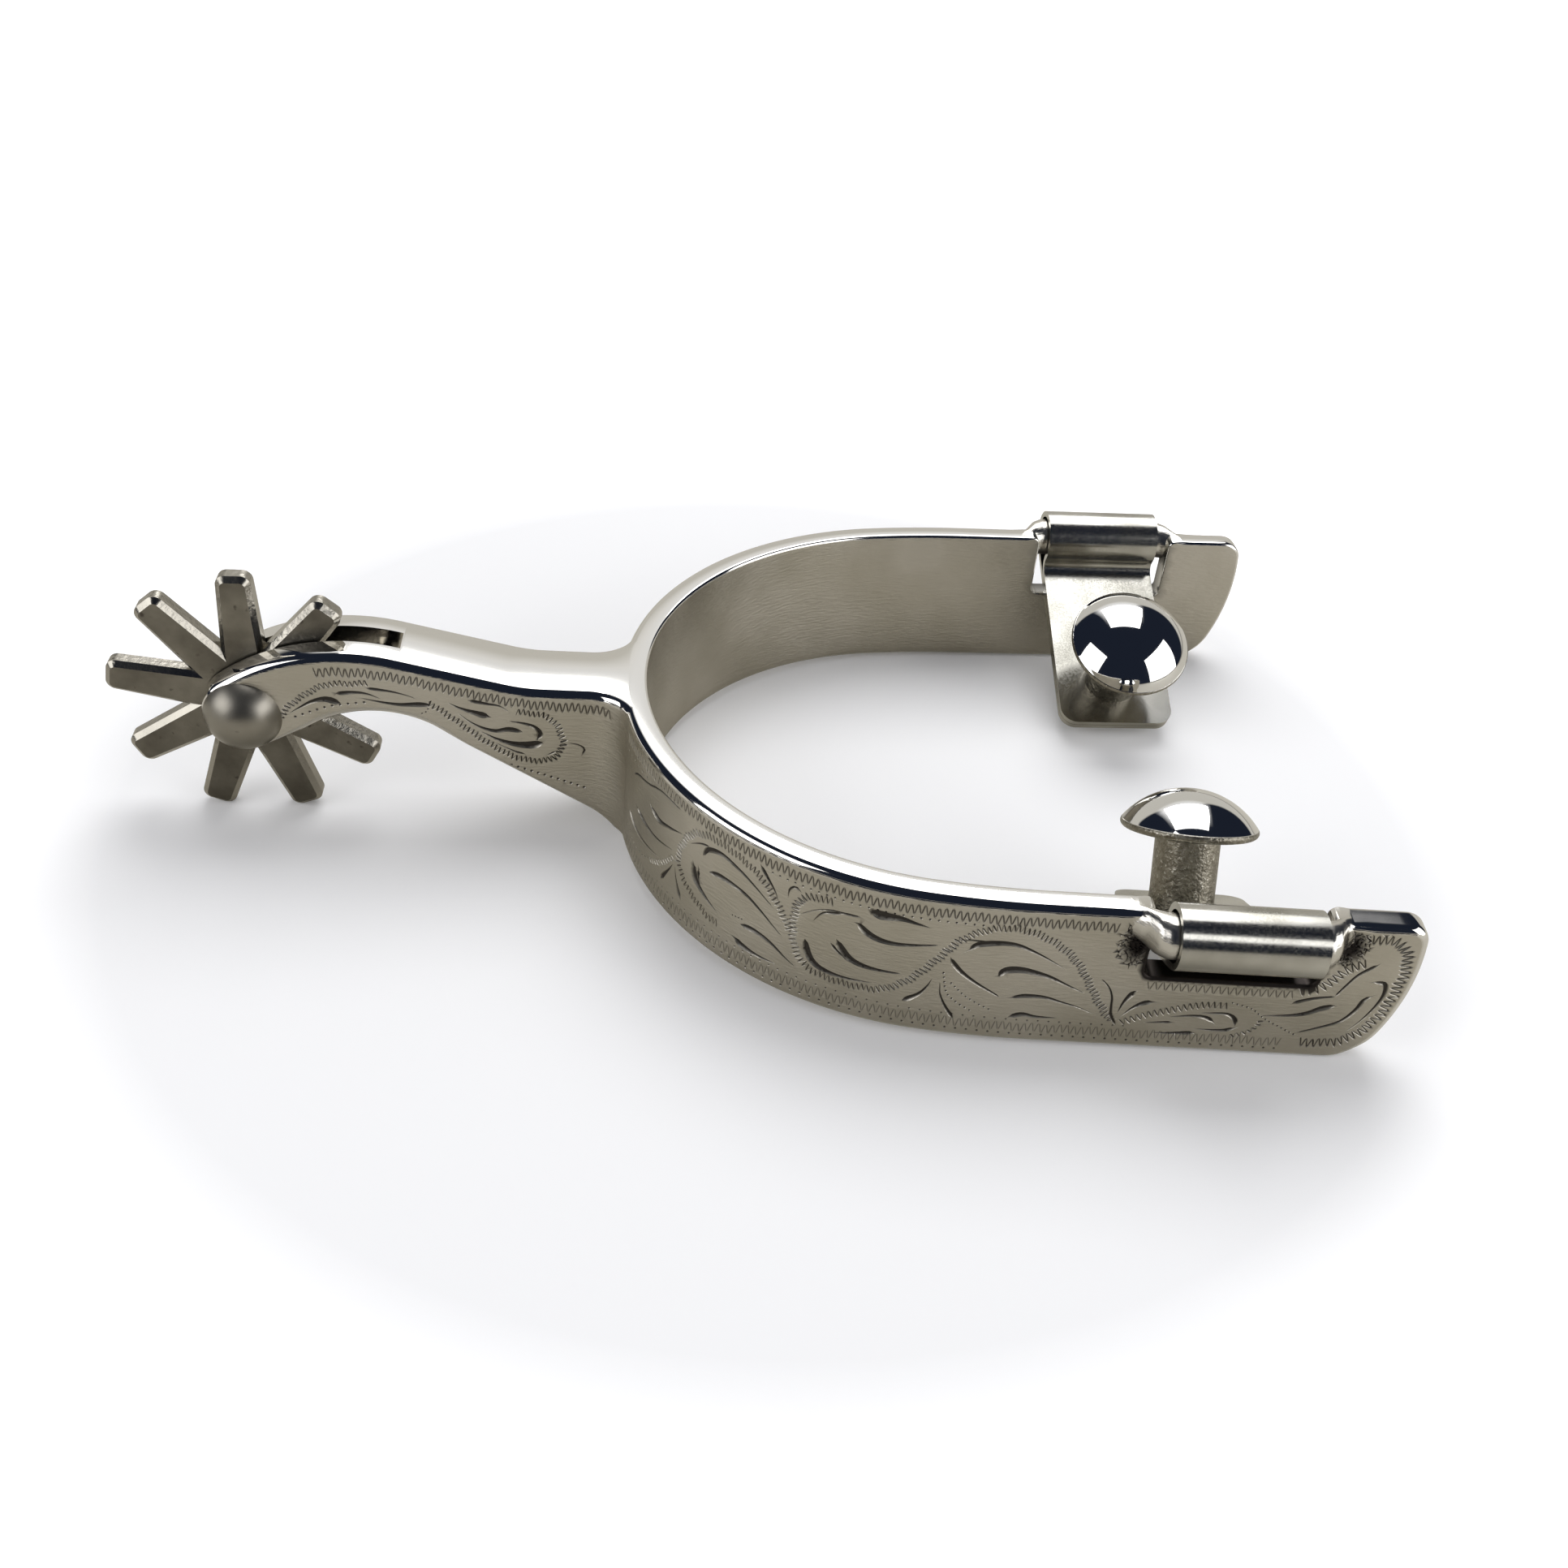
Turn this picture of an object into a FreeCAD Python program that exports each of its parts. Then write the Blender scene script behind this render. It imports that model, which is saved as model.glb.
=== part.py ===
import FreeCAD, Part

# Western heel spur: a U-shaped heel band with a shank behind it, a nine-point rowel that spins on a
# riveted pin between the shank's two cheeks, and a strap button hinged to the top of each arm.
#
# Millimetres. +X points out of the open end of the band (towards the toe of the boot), +Y to the
# wearer's left, +Z up. The origin is the centre of the band's round heel seat, on the plane of the
# band's lower edge.

import math
import os

import Sketcher

DIMENSIONS = [
    # alias, value, meaning
    ("band_height", 19.05, "height of the heel band"),
    ("band_wall", 3.0, "thickness of the heel band"),
    ("crown_radius", 36.5, "inner radius of the round heel seat"),
    ("crown_half_angle", 80.5, "half of the heel seat's sweep, degrees"),
    ("shoulder_radius", 95.0, "inner radius where the seat eases into the arms"),
    ("arm_splay", 2.3, "angle of each arm away from the long axis, degrees"),
    ("arm_length", 40.0, "straight length of each arm"),
    ("nose_radius", 26.5, "curve of the arm's end, seen from the side"),
    ("nose_height", 13.5, "height of the arm's furthest point"),
    ("nose_lower_corner", 6.0, "radius of the arm end's lower corner"),
    ("nose_upper_corner", 2.5, "radius of the arm end's upper corner"),
    ("window_start", 10.95, "rear edge of the hinge window, along the arm"),
    ("window_end", 29.3, "front edge of the hinge window, along the arm"),
    ("window_floor", 10.3, "height of the window's lower edge"),
    ("window_corner", 1.0, "radius in the window's lower corners"),
    ("bar_radius", 2.45, "radius of the hinge bar across the window"),
    ("bar_height", 17.15, "height of the hinge bar's axis"),
    ("bar_offset", 4.05, "hinge axis out from the arm's inner face"),
    ("bar_start", 12.4, "where the bar becomes straight, along the arm"),
    ("bar_end", 28.1, "where the bar stops being straight"),
    ("rear_blend", 4.0, "length of the rear taper from the bar into the arm"),
    ("front_blend", 3.6, "length of the front taper from the bar into the arm"),
    ("barrel_radius", 3.55, "outer radius of the button plate's rolled barrel"),
    ("strip_wall", 0.75, "thickness of the strip that the button plate is folded from"),
    ("leaf_half", 0.78, "half of the folded plate's thickness"),
    ("fold_drop", 4.8, "distance from the hinge axis to the flat of the front leaf"),
    ("plate_width", 15.3, "width of the button plate"),
    ("plate_reach", 28.45, "hinge axis to the plate's foot"),
    ("plate_centre", 20.2, "middle of the button plate, along the arm"),
    ("plate_corner", 2.2, "radius of the plate's foot corners"),
    ("plate_swing", 63.5, "rest angle of the plate from hanging straight down, degrees"),
    ("stud_drop", 21.7, "hinge axis to the stud's axis"),
    ("left_stud_shift", 0.2, "left stud's distance behind the middle of its plate"),
    ("right_stud_shift", 1.1, "right stud's distance behind the middle of its plate"),
    ("stud_neck_radius", 3.7, "radius of the stud's neck"),
    ("stud_head_radius", 7.8, "radius of the stud's head"),
    ("stud_head_base", 9.6, "plate middle to the underside of the head"),
    ("stud_rim", 1.1, "thickness of the head's rim"),
    ("stud_dome", 3.8, "height of the head's dome above the rim"),
    ("stud_tail_radius", 2.4, "radius of the stud's tail in the plate"),
    ("stud_peen_radius", 3.4, "radius of the hammered end of the tail"),
    ("stud_peen", 0.8, "height of the hammered end of the tail"),
    ("rivet_gap", 0.02, "radial gap between the stud's tail and its hole"),
    ("pin_setback", 83.04, "origin back to the rowel pin"),
    ("pin_height", 13.9, "height of the rowel pin"),
    ("pin_radius", 1.95, "radius of the rowel pin"),
    ("pin_head_radius", 4.5, "radius of the rowel pin's heads"),
    ("pin_head_dome", 3.1, "height of the rowel pin's heads"),
    ("shank_width", 9.525, "width of the shank"),
    ("shank_flare", 5.0, "radius where the shank flows into the band"),
    ("hump_radius", 25.0, "radius of the shank's back"),
    ("hump_setback", 70.8, "origin back to the top of the shank"),
    ("hump_height", 22.8, "height of the top of the shank"),
    ("neck_slope", 12.2, "fall of the shank's back towards the band, degrees"),
    ("neck_radius", 20.0, "radius where the shank's back meets the band's top"),
    ("arch_radius", 13.3, "radius of the hollow under the shank"),
    ("arch_setback", 67.8, "origin back to the top of the hollow"),
    ("arch_height", 14.9, "height of the top of the hollow"),
    ("shank_foot", 39.9, "origin back to where the shank's underside meets the band"),
    ("slot_width", 3.3, "width of the rowel slot"),
    ("slot_front", 65.0, "origin back to the closed end of the slot"),
    ("rowel_points", 9, "number of rowel points"),
    ("rowel_radius", 16.3, "radius of the rowel over its points"),
    ("rowel_wall", 2.7, "thickness of the rowel"),
    ("rowel_root", 5.48, "width of a rowel point, measured at the rowel's centre"),
    ("rowel_tip", 3.9, "width of a rowel point at its tip"),
    ("rowel_corner", 1.2, "corner radius of a rowel point"),
    ("rowel_bevel", 0.6, "bevel round each rowel point"),
    ("rowel_bore", 2.05, "radius of the rowel's bore"),
    ("rowel_turn", 1.0, "rest angle of the rowel, degrees"),
]

doc = FreeCAD.newDocument("spur")
sheet = doc.addObject("Spreadsheet::Sheet", "dims")


def fill_sheet():
    for row, (alias, value, meaning) in enumerate(DIMENSIONS, start=1):
        sheet.set(f"A{row}", meaning)
        sheet.set(f"B{row}", str(value))
        sheet.setAlias(f"B{row}", alias)
    doc.recompute()


fill_sheet()


def size(alias):
    """A driving dimension as a number, for the starting shape of a sketch."""
    return float(sheet.get(alias))


def bind(item, expressions):
    """Ties properties of an object to expressions of the sheet's cells."""
    for name, expression in expressions.items():
        item.setExpression(name, expression)


# ---------------------------------------------------------------- sketch helpers

START, END, CENTRE = 1, 2, 3
ORIGIN = (-1, 1)
PLANES = {"XY": "XY_Plane", "XZ": "XZ_Plane", "YZ": "YZ_Plane"}


def new_body(name):
    body = doc.addObject("PartDesign::Body", name)
    body.Label = name
    return body


def new_sketch(body, plane, name):
    """A sketch on one of the body's own origin planes."""
    sketch = body.newObject("Sketcher::SketchObject", name)
    role = PLANES[plane]
    base = [item for item in body.Origin.OriginFeatures if item.Role == role][0]
    sketch.AttachmentSupport = [(base, "")]
    sketch.MapMode = "FlatFace"
    return sketch


def line(sketch, start, end):
    return sketch.addGeometry(
        Part.LineSegment(FreeCAD.Vector(*start, 0), FreeCAD.Vector(*end, 0))
    )


def arc(sketch, centre, radius, start_degrees, end_degrees):
    """An arc drawn anticlockwise from its start angle to its end angle."""
    circle = Part.Circle(FreeCAD.Vector(*centre, 0), FreeCAD.Vector(0, 0, 1), radius)
    start, end = math.radians(start_degrees), math.radians(end_degrees)
    return sketch.addGeometry(Part.ArcOfCircle(circle, start, end))


def rule(sketch, kind, *where):
    sketch.addConstraint(Sketcher.Constraint(kind, *where))


def join(sketch, *pairs):
    """Makes the ends of neighbouring lines meet."""
    for first, first_end, second, second_end in pairs:
        rule(sketch, "Coincident", first, first_end, second, second_end)


def flow(sketch, *pairs):
    """Makes neighbouring curves meet and share a tangent."""
    for first, first_end, second, second_end in pairs:
        rule(sketch, "Tangent", first, first_end, second, second_end)


def level(sketch, *lines):
    for each in lines:
        rule(sketch, "Horizontal", each)


def upright(sketch, *lines):
    for each in lines:
        rule(sketch, "Vertical", each)


def measure(sketch, name, kind, where, value, expression):
    """A named dimension of a sketch, tied to the sheet."""
    index = sketch.addConstraint(Sketcher.Constraint(kind, *where, value))
    sketch.renameConstraint(index, name)
    sketch.setExpression(f"Constraints.{name}", expression)


def across(sketch, name, point, value, expression):
    """Horizontal distance of a point from the sketch's origin."""
    measure(sketch, name, "DistanceX", (*ORIGIN, *point), value, expression)


def above(sketch, name, point, value, expression):
    """Vertical distance of a point from the sketch's origin."""
    measure(sketch, name, "DistanceY", (*ORIGIN, *point), value, expression)


def bearing(start, end):
    """Direction from one point to another, in degrees."""
    return math.degrees(math.atan2(end[1] - start[1], end[0] - start[0]))


def offset(point, distance, degrees):
    """The point at a distance and direction from another."""
    turn = math.radians(degrees)
    return (point[0] + distance * math.cos(turn), point[1] + distance * math.sin(turn))


# ---------------------------------------------------------------- heel band


def ring_sector(name, inner, sweep, start, centre_x, centre_y):
    """A curved stretch of the band, as a sector of a ring."""
    outside = doc.addObject("Part::Cylinder", name + "_outside")
    inside = doc.addObject("Part::Cylinder", name + "_inside")
    bind(outside, {"Radius": f"{inner} + dims.band_wall", "Angle": sweep})
    bind(inside, {"Radius": inner})
    for each in (outside, inside):
        bind(each, {
            "Height": "dims.band_height",
            "Placement.Base.x": centre_x,
            "Placement.Base.y": centre_y,
            "Placement.Rotation.Angle": start,
        })
    ring = doc.addObject("Part::Cut", name)
    ring.Base = outside
    ring.Tool = inside
    return ring


CROWN_END = "(180 - dims.crown_half_angle) * 1 deg"
ARM_NORMAL = "(90 + dims.arm_splay) * 1 deg"
SHOULDER_X = f"(dims.crown_radius - dims.shoulder_radius) * cos({CROWN_END})"
SHOULDER_Y = f"(dims.crown_radius - dims.shoulder_radius) * sin({CROWN_END})"
ARM_X = f"{SHOULDER_X} + dims.shoulder_radius * cos({ARM_NORMAL})"
ARM_Y = f"{SHOULDER_Y} + dims.shoulder_radius * sin({ARM_NORMAL})"


def make_crown():
    """The round heel seat."""
    return ring_sector(
        "crown", "dims.crown_radius", "2 * dims.crown_half_angle", CROWN_END, "0", "0"
    )


def make_shoulder():
    """The gentler curve between the heel seat and the left arm."""
    sweep = "90 - dims.crown_half_angle - dims.arm_splay"
    return ring_sector(
        "shoulder", "dims.shoulder_radius", sweep, ARM_NORMAL, SHOULDER_X, SHOULDER_Y
    )


def draw_arm_side(sketch):
    """Side view of the arm: straight edges and a rounded nose."""
    height, length = size("band_height"), size("arm_length")
    nose, low, high = size("nose_radius"), size("nose_lower_corner"), size("nose_upper_corner")
    middle = (length - nose, size("nose_height"))
    low_x = middle[0] + math.sqrt((nose - low) ** 2 - (middle[1] - low) ** 2)
    high_x = middle[0] + math.sqrt((nose - high) ** 2 - (height - high - middle[1]) ** 2)
    low_turn = bearing(middle, (low_x, low))
    high_turn = bearing(middle, (high_x, height - high))
    bottom = line(sketch, (0, 0), (low_x, 0))
    lower = arc(sketch, (low_x, low), low, -90, low_turn)
    front = arc(sketch, middle, nose, low_turn, high_turn)
    upper = arc(sketch, (high_x, height - high), high, high_turn, 90)
    top = line(sketch, (high_x, height), (0, height))
    back = line(sketch, (0, height), (0, 0))
    rule(sketch, "Coincident", bottom, START, *ORIGIN)
    join(sketch, (top, END, back, START), (back, END, bottom, START))
    flow(sketch, (bottom, END, lower, START), (lower, END, front, START))
    flow(sketch, (front, END, upper, START), (upper, END, top, START))
    level(sketch, bottom, top)
    upright(sketch, back)
    measure(sketch, "lower_corner", "Radius", (lower,), low, "dims.nose_lower_corner")
    measure(sketch, "upper_corner", "Radius", (upper,), high, "dims.nose_upper_corner")
    measure(sketch, "nose", "Radius", (front,), nose, "dims.nose_radius")
    across(sketch, "nose_x", (front, CENTRE), middle[0], "dims.arm_length - dims.nose_radius")
    above(sketch, "nose_z", (front, CENTRE), middle[1], "dims.nose_height")
    above(sketch, "top_z", (top, START), height, "dims.band_height")


def draw_window(sketch):
    """Side view of the open-topped window that the button plate swings through."""
    left, right = size("window_start"), size("window_end")
    floor, corner = size("window_floor"), size("window_corner")
    over = size("band_height") + size("barrel_radius")
    rear = line(sketch, (left, over), (left, floor + corner))
    rear_corner = arc(sketch, (left + corner, floor + corner), corner, 180, 270)
    sill = line(sketch, (left + corner, floor), (right - corner, floor))
    front_corner = arc(sketch, (right - corner, floor + corner), corner, 270, 360)
    front = line(sketch, (right, floor + corner), (right, over))
    lid = line(sketch, (right, over), (left, over))
    flow(sketch, (rear, END, rear_corner, START), (rear_corner, END, sill, START))
    flow(sketch, (sill, END, front_corner, START), (front_corner, END, front, START))
    join(sketch, (front, END, lid, START), (lid, END, rear, START))
    upright(sketch, rear, front)
    level(sketch, sill, lid)
    measure(sketch, "rear_round", "Radius", (rear_corner,), corner, "dims.window_corner")
    measure(sketch, "front_round", "Radius", (front_corner,), corner, "dims.window_corner")
    across(sketch, "rear_x", (rear, START), left, "dims.window_start")
    across(sketch, "front_x", (front, END), right, "dims.window_end")
    above(sketch, "sill_z", (sill, START), floor, "dims.window_floor")
    above(sketch, "lid_z", (lid, START), over, "dims.band_height + dims.barrel_radius")


def make_arm():
    """The left arm, with its hinge window, in its own frame: x along it, y outwards."""
    body = new_body("arm")
    side = new_sketch(body, "XZ", "arm_side")
    draw_arm_side(side)
    pad = body.newObject("PartDesign::Pad", "arm_pad")
    pad.Profile = side
    pad.Reversed = True
    pad.setExpression("Length", "dims.band_wall")
    doc.recompute()
    opening = new_sketch(body, "XZ", "window_side")
    draw_window(opening)
    window = body.newObject("PartDesign::Pocket", "window")
    window.Profile = opening
    window.Type = "ThroughAll"
    window.Midplane = True
    bind(body, {
        "Placement.Base.x": ARM_X,
        "Placement.Base.y": ARM_Y,
        "Placement.Rotation.Angle": "dims.arm_splay",
    })
    doc.recompute()
    assert window.Shape.Volume < pad.Shape.Volume
    return body


# Each end of the hinge bar swells out of the arm through these stages: how far along the taper,
# and how far the bar has moved from the arm's middle plane to its own axis, both as shares of 1.
BAR_STAGES = [(0.0, 0.0), (0.3, 0.28), (0.6, 0.78), (0.85, 0.97), (1.0, 1.0)]
BAR_SKIN = 0.05  # how far the start of the taper stays inside the arm's faces
ARM_FRAME = f"placement(vector({ARM_X}; {ARM_Y}; 0); rotation(vector(0; 0; 1); dims.arm_splay * 1 deg))"
ALONG_ARM = "rotation(vector(0; 1; 0); 90 deg)"


def bar_section(name, along, share):
    """An ellipse across the bar: flat and low within the arm, round at the hinge."""
    flat = f"(dims.band_wall / 2 - {BAR_SKIN})"
    low = f"(dims.band_height - dims.bar_height - {BAR_SKIN})"
    out = f"dims.band_wall / 2 * {1 - share} + dims.bar_offset * {share}"
    ellipse = doc.addObject("Part::Ellipse", name)
    bind(ellipse, {
        "MajorRadius": f"{low} * {1 - share} + dims.bar_radius * {share}",
        "MinorRadius": f"{flat} * {1 - share} + dims.bar_radius * {share}",
        "Placement": f"{ARM_FRAME} * placement(vector({along}; {out}; dims.bar_height); {ALONG_ARM})",
    })
    return ellipse


def make_taper(name, straight_end, blend):
    """The stretch where the bar grows out of the arm, ending at the straight bar."""
    sections = []
    for index, (along, share) in enumerate(BAR_STAGES):
        where = f"{straight_end} {blend} * {1 - along}"
        sections.append(bar_section(f"{name}_section_{index}", where, share))
    taper = doc.addObject("Part::Loft", name)
    taper.Sections = sections
    taper.Solid = True
    taper.Ruled = False
    return taper


def make_bar():
    """The round bar that carries the button plate, in one piece with the left arm."""
    straight = doc.addObject("Part::Cylinder", "bar_straight")
    where = "vector(dims.bar_start; dims.bar_offset; dims.bar_height)"
    bind(straight, {
        "Radius": "dims.bar_radius",
        "Height": "dims.bar_end - dims.bar_start",
        "Placement": f"{ARM_FRAME} * placement({where}; {ALONG_ARM})",
    })
    bar = doc.addObject("Part::MultiFuse", "bar")
    bar.Shapes = [
        straight,
        make_taper("rear_taper", "dims.bar_start", "- dims.rear_blend"),
        make_taper("front_taper", "dims.bar_end", "+ dims.front_blend"),
    ]
    return bar


def mirrored(source):
    """The same shape on the right side of the spur."""
    mirror = doc.addObject("Part::Mirroring", source.Name + "_mirrored")
    mirror.Source = source
    mirror.Normal = (0, 1, 0)
    return mirror


# ---------------------------------------------------------------- shank


def draw_shank_side(sketch):
    """Side view of the shank: cheek end, arched back, hollow underside."""
    pin = (-size("pin_setback"), size("pin_height"))
    top, hump_radius = size("band_height"), size("hump_radius")
    hump = (-size("hump_setback"), size("hump_height") - hump_radius)
    tip_radius = hump_radius - math.dist(hump, pin)
    back_turn = bearing(hump, pin)
    fall = 90 - size("neck_slope")
    leave = offset(hump, hump_radius, fall)
    neck_radius = size("neck_radius")
    slope = math.radians(size("neck_slope"))
    rise = top + neck_radius - leave[1]
    neck_x = leave[0] + (neck_radius - math.cos(slope) * rise) / math.sin(slope)
    neck = (neck_x, top + neck_radius)
    arch_radius = size("arch_radius")
    arch = (-size("arch_setback"), size("arch_height") - arch_radius)
    cheek_turn = bearing(arch, pin) - math.degrees(
        math.acos((arch_radius + tip_radius) / math.dist(arch, pin))
    )
    foot = (-size("shank_foot"), 0)
    under_turn = bearing(arch, foot) + math.degrees(
        math.acos(arch_radius / math.dist(arch, foot))
    )
    inside = -size("crown_radius") - size("band_wall") / 3

    tip = arc(sketch, pin, tip_radius, back_turn, cheek_turn + 180)
    back = arc(sketch, hump, hump_radius, fall, back_turn)
    neck_line = line(sketch, leave, offset(neck, neck_radius, fall + 180))
    dip = arc(sketch, neck, neck_radius, fall + 180, 270)
    top_line = line(sketch, (neck_x, top), (inside, top))
    end_line = line(sketch, (inside, top), (inside, 0))
    bottom_line = line(sketch, (inside, 0), foot)
    under_line = line(sketch, foot, offset(arch, arch_radius, under_turn))
    hollow = arc(sketch, arch, arch_radius, under_turn, cheek_turn)
    cheek_line = line(
        sketch, offset(arch, arch_radius, cheek_turn), offset(pin, tip_radius, cheek_turn + 180)
    )

    flow(sketch, (tip, START, back, END), (back, START, neck_line, START))
    flow(sketch, (neck_line, END, dip, START), (dip, END, top_line, START))
    flow(sketch, (under_line, END, hollow, START), (hollow, END, cheek_line, START))
    flow(sketch, (cheek_line, END, tip, END))
    join(sketch, (top_line, END, end_line, START), (end_line, END, bottom_line, START))
    join(sketch, (bottom_line, END, under_line, START))
    level(sketch, top_line, bottom_line)
    upright(sketch, end_line)
    across(sketch, "pin_x", (tip, CENTRE), pin[0], "-dims.pin_setback")
    above(sketch, "pin_z", (tip, CENTRE), pin[1], "dims.pin_height")
    across(sketch, "hump_x", (back, CENTRE), hump[0], "-dims.hump_setback")
    measure(sketch, "hump_z", "DistanceY", (back, CENTRE, *ORIGIN), -hump[1],
            "dims.hump_radius - dims.hump_height")
    measure(sketch, "hump", "Radius", (back,), hump_radius, "dims.hump_radius")
    measure(sketch, "dip", "Radius", (dip,), neck_radius, "dims.neck_radius")
    measure(sketch, "fall", "Angle", (neck_line,), -slope, "-dims.neck_slope * 1 deg")
    above(sketch, "top_z", (top_line, END), top, "dims.band_height")
    across(sketch, "end_x", (end_line, END), inside, "-dims.crown_radius - dims.band_wall / 3")
    rule(sketch, "PointOnObject", bottom_line, END, -1)
    across(sketch, "foot_x", (bottom_line, END), foot[0], "-dims.shank_foot")
    measure(sketch, "hollow", "Radius", (hollow,), arch_radius, "dims.arch_radius")
    across(sketch, "arch_x", (hollow, CENTRE), arch[0], "-dims.arch_setback")
    above(sketch, "arch_z", (hollow, CENTRE), arch[1], "dims.arch_height - dims.arch_radius")


def draw_shank_plan(sketch):
    """Top view of the shank: parallel sides that flare into the band's outer face."""
    half, flare = size("shank_width") / 2, size("shank_flare")
    outer = size("crown_radius") + size("band_wall")
    centre_x = -math.sqrt((outer + flare) ** 2 - (half + flare) ** 2)
    touch_x = centre_x * outer / (outer + flare)
    centre_x_rule = (
        "-sqrt((dims.crown_radius + dims.band_wall + dims.shank_flare)^2"
        " - (dims.shank_width / 2 + dims.shank_flare)^2)"
    )
    touch_x_rule = (
        f"{centre_x_rule} * (dims.crown_radius + dims.band_wall)"
        " / (dims.crown_radius + dims.band_wall + dims.shank_flare)"
    )
    touch = bearing((centre_x, half + flare), (0, 0))
    touch_y = (half + flare) * outer / (outer + flare)
    back = -size("pin_setback") - size("hump_radius")
    left_side = line(sketch, (back, half), (centre_x, half))
    left_flare = arc(sketch, (centre_x, half + flare), flare, -90, touch)
    chord = line(sketch, (touch_x, touch_y), (touch_x, -touch_y))
    right_flare = arc(sketch, (centre_x, -half - flare), flare, -touch, 90)
    right_side = line(sketch, (centre_x, -half), (back, -half))
    end = line(sketch, (back, -half), (back, half))
    flow(sketch, (left_side, END, left_flare, START), (right_flare, END, right_side, START))
    join(sketch, (left_flare, END, chord, START), (chord, END, right_flare, START))
    join(sketch, (right_side, END, end, START), (end, END, left_side, START))
    level(sketch, left_side, right_side)
    upright(sketch, chord, end)
    measure(sketch, "left_round", "Radius", (left_flare,), flare, "dims.shank_flare")
    measure(sketch, "right_round", "Radius", (right_flare,), flare, "dims.shank_flare")
    across(sketch, "left_x", (left_flare, CENTRE), centre_x, centre_x_rule)
    across(sketch, "right_x", (right_flare, CENTRE), centre_x, centre_x_rule)
    across(sketch, "touch_x", (chord, START), touch_x, touch_x_rule)
    across(sketch, "back_x", (end, START), back, "-dims.pin_setback - dims.hump_radius")
    above(sketch, "left_y", (left_side, START), half, "dims.shank_width / 2")
    above(sketch, "right_y", (right_side, END), -half, "-dims.shank_width / 2")


def make_shank():
    """The shank, as what its side view and its top view have in common."""
    side = new_body("shank_side")
    side_sketch = new_sketch(side, "XZ", "shank_side_view")
    draw_shank_side(side_sketch)
    side_pad = side.newObject("PartDesign::Pad", "shank_side_pad")
    side_pad.Profile = side_sketch
    side_pad.Midplane = True
    side_pad.setExpression("Length", "2 * dims.crown_radius")
    plan = new_body("shank_plan")
    plan_sketch = new_sketch(plan, "XY", "shank_plan_view")
    draw_shank_plan(plan_sketch)
    plan_pad = plan.newObject("PartDesign::Pad", "shank_plan_pad")
    plan_pad.Profile = plan_sketch
    plan_pad.Midplane = True
    plan_pad.setExpression("Length", "3 * dims.hump_height")
    shank = doc.addObject("Part::MultiCommon", "shank")
    shank.Shapes = [side, plan]
    return shank


def make_slot():
    """The space that the rowel turns in, open at the back, top and bottom."""
    slot = doc.addObject("Part::Box", "slot")
    bind(slot, {
        "Length": "dims.pin_setback + dims.hump_radius - dims.slot_front",
        "Width": "dims.slot_width",
        "Height": "2 * dims.hump_height",
        "Placement.Base.x": "-dims.pin_setback - dims.hump_radius",
        "Placement.Base.y": "-dims.slot_width / 2",
        "Placement.Base.z": "-dims.hump_height / 2",
    })
    return slot


def make_pin_hole():
    """The hole through both cheeks."""
    hole = doc.addObject("Part::Cylinder", "pin_hole")
    stand = "rotation(vector(1; 0; 0); 90 deg)"
    bind(hole, {
        "Radius": "dims.pin_radius",
        "Height": "2 * dims.shank_width",
        "Placement": f"placement(vector(-dims.pin_setback; dims.shank_width; dims.pin_height); {stand})",
    })
    return hole


def make_spur_body():
    """Band, arms, hinge bars and shank: one casting."""
    arm, bar, shoulder = make_arm(), make_bar(), make_shoulder()
    left = [shoulder, arm, bar]
    blank = doc.addObject("Part::MultiFuse", "blank")
    blank.Shapes = [make_crown(), make_shank()] + left + [mirrored(each) for each in left]
    blank.Refine = True
    cutters = doc.addObject("Part::MultiFuse", "cutters")
    cutters.Shapes = [make_slot(), make_pin_hole()]
    spur_body = doc.addObject("Part::Cut", "spur_body")
    spur_body.Base = blank
    spur_body.Tool = cutters
    spur_body.Label = "spur_body"
    return spur_body


# ---------------------------------------------------------------- rowel and its pin


def draw_rowel_point(sketch):
    """One point of the rowel, from the centre outwards, slightly tapered."""
    reach, corner = size("rowel_radius"), size("rowel_corner")
    root, tip = size("rowel_root") / 2, size("rowel_tip") / 2
    lean = math.degrees(math.atan2(root - tip, reach))
    centre_z = reach - corner
    edge_x = tip + (root - tip) * corner / reach
    centre_x = edge_x - corner / math.cos(math.radians(lean))
    right_touch = offset((centre_x, centre_z), corner, lean)
    left_touch = (-right_touch[0], right_touch[1])
    base = line(sketch, (-root, 0), (root, 0))
    right = line(sketch, (root, 0), right_touch)
    right_round = arc(sketch, (centre_x, centre_z), corner, lean, 90)
    end = line(sketch, (centre_x, reach), (-centre_x, reach))
    left_round = arc(sketch, (-centre_x, centre_z), corner, 90, 180 - lean)
    left = line(sketch, left_touch, (-root, 0))
    join(sketch, (base, END, right, START), (left, END, base, START))
    flow(sketch, (right, END, right_round, START), (right_round, END, end, START))
    flow(sketch, (end, END, left_round, START), (left_round, END, left, START))
    level(sketch, base, end)
    rule(sketch, "PointOnObject", base, START, -1)
    measure(sketch, "right_corner", "Radius", (right_round,), corner, "dims.rowel_corner")
    measure(sketch, "left_corner", "Radius", (left_round,), corner, "dims.rowel_corner")
    across(sketch, "root_right", (base, END), root, "dims.rowel_root / 2")
    measure(sketch, "root_left", "DistanceX", (base, START, *ORIGIN), root, "dims.rowel_root / 2")
    above(sketch, "reach", (end, START), reach, "dims.rowel_radius")
    lean_rule = "atan2(dims.rowel_root / 2 - dims.rowel_tip / 2; dims.rowel_radius)"
    measure(sketch, "right_lean", "Angle", (right,), math.radians(90 + lean), f"90 deg + {lean_rule}")
    measure(sketch, "left_lean", "Angle", (left,), math.radians(-90 - lean), f"-90 deg - {lean_rule}")


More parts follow.
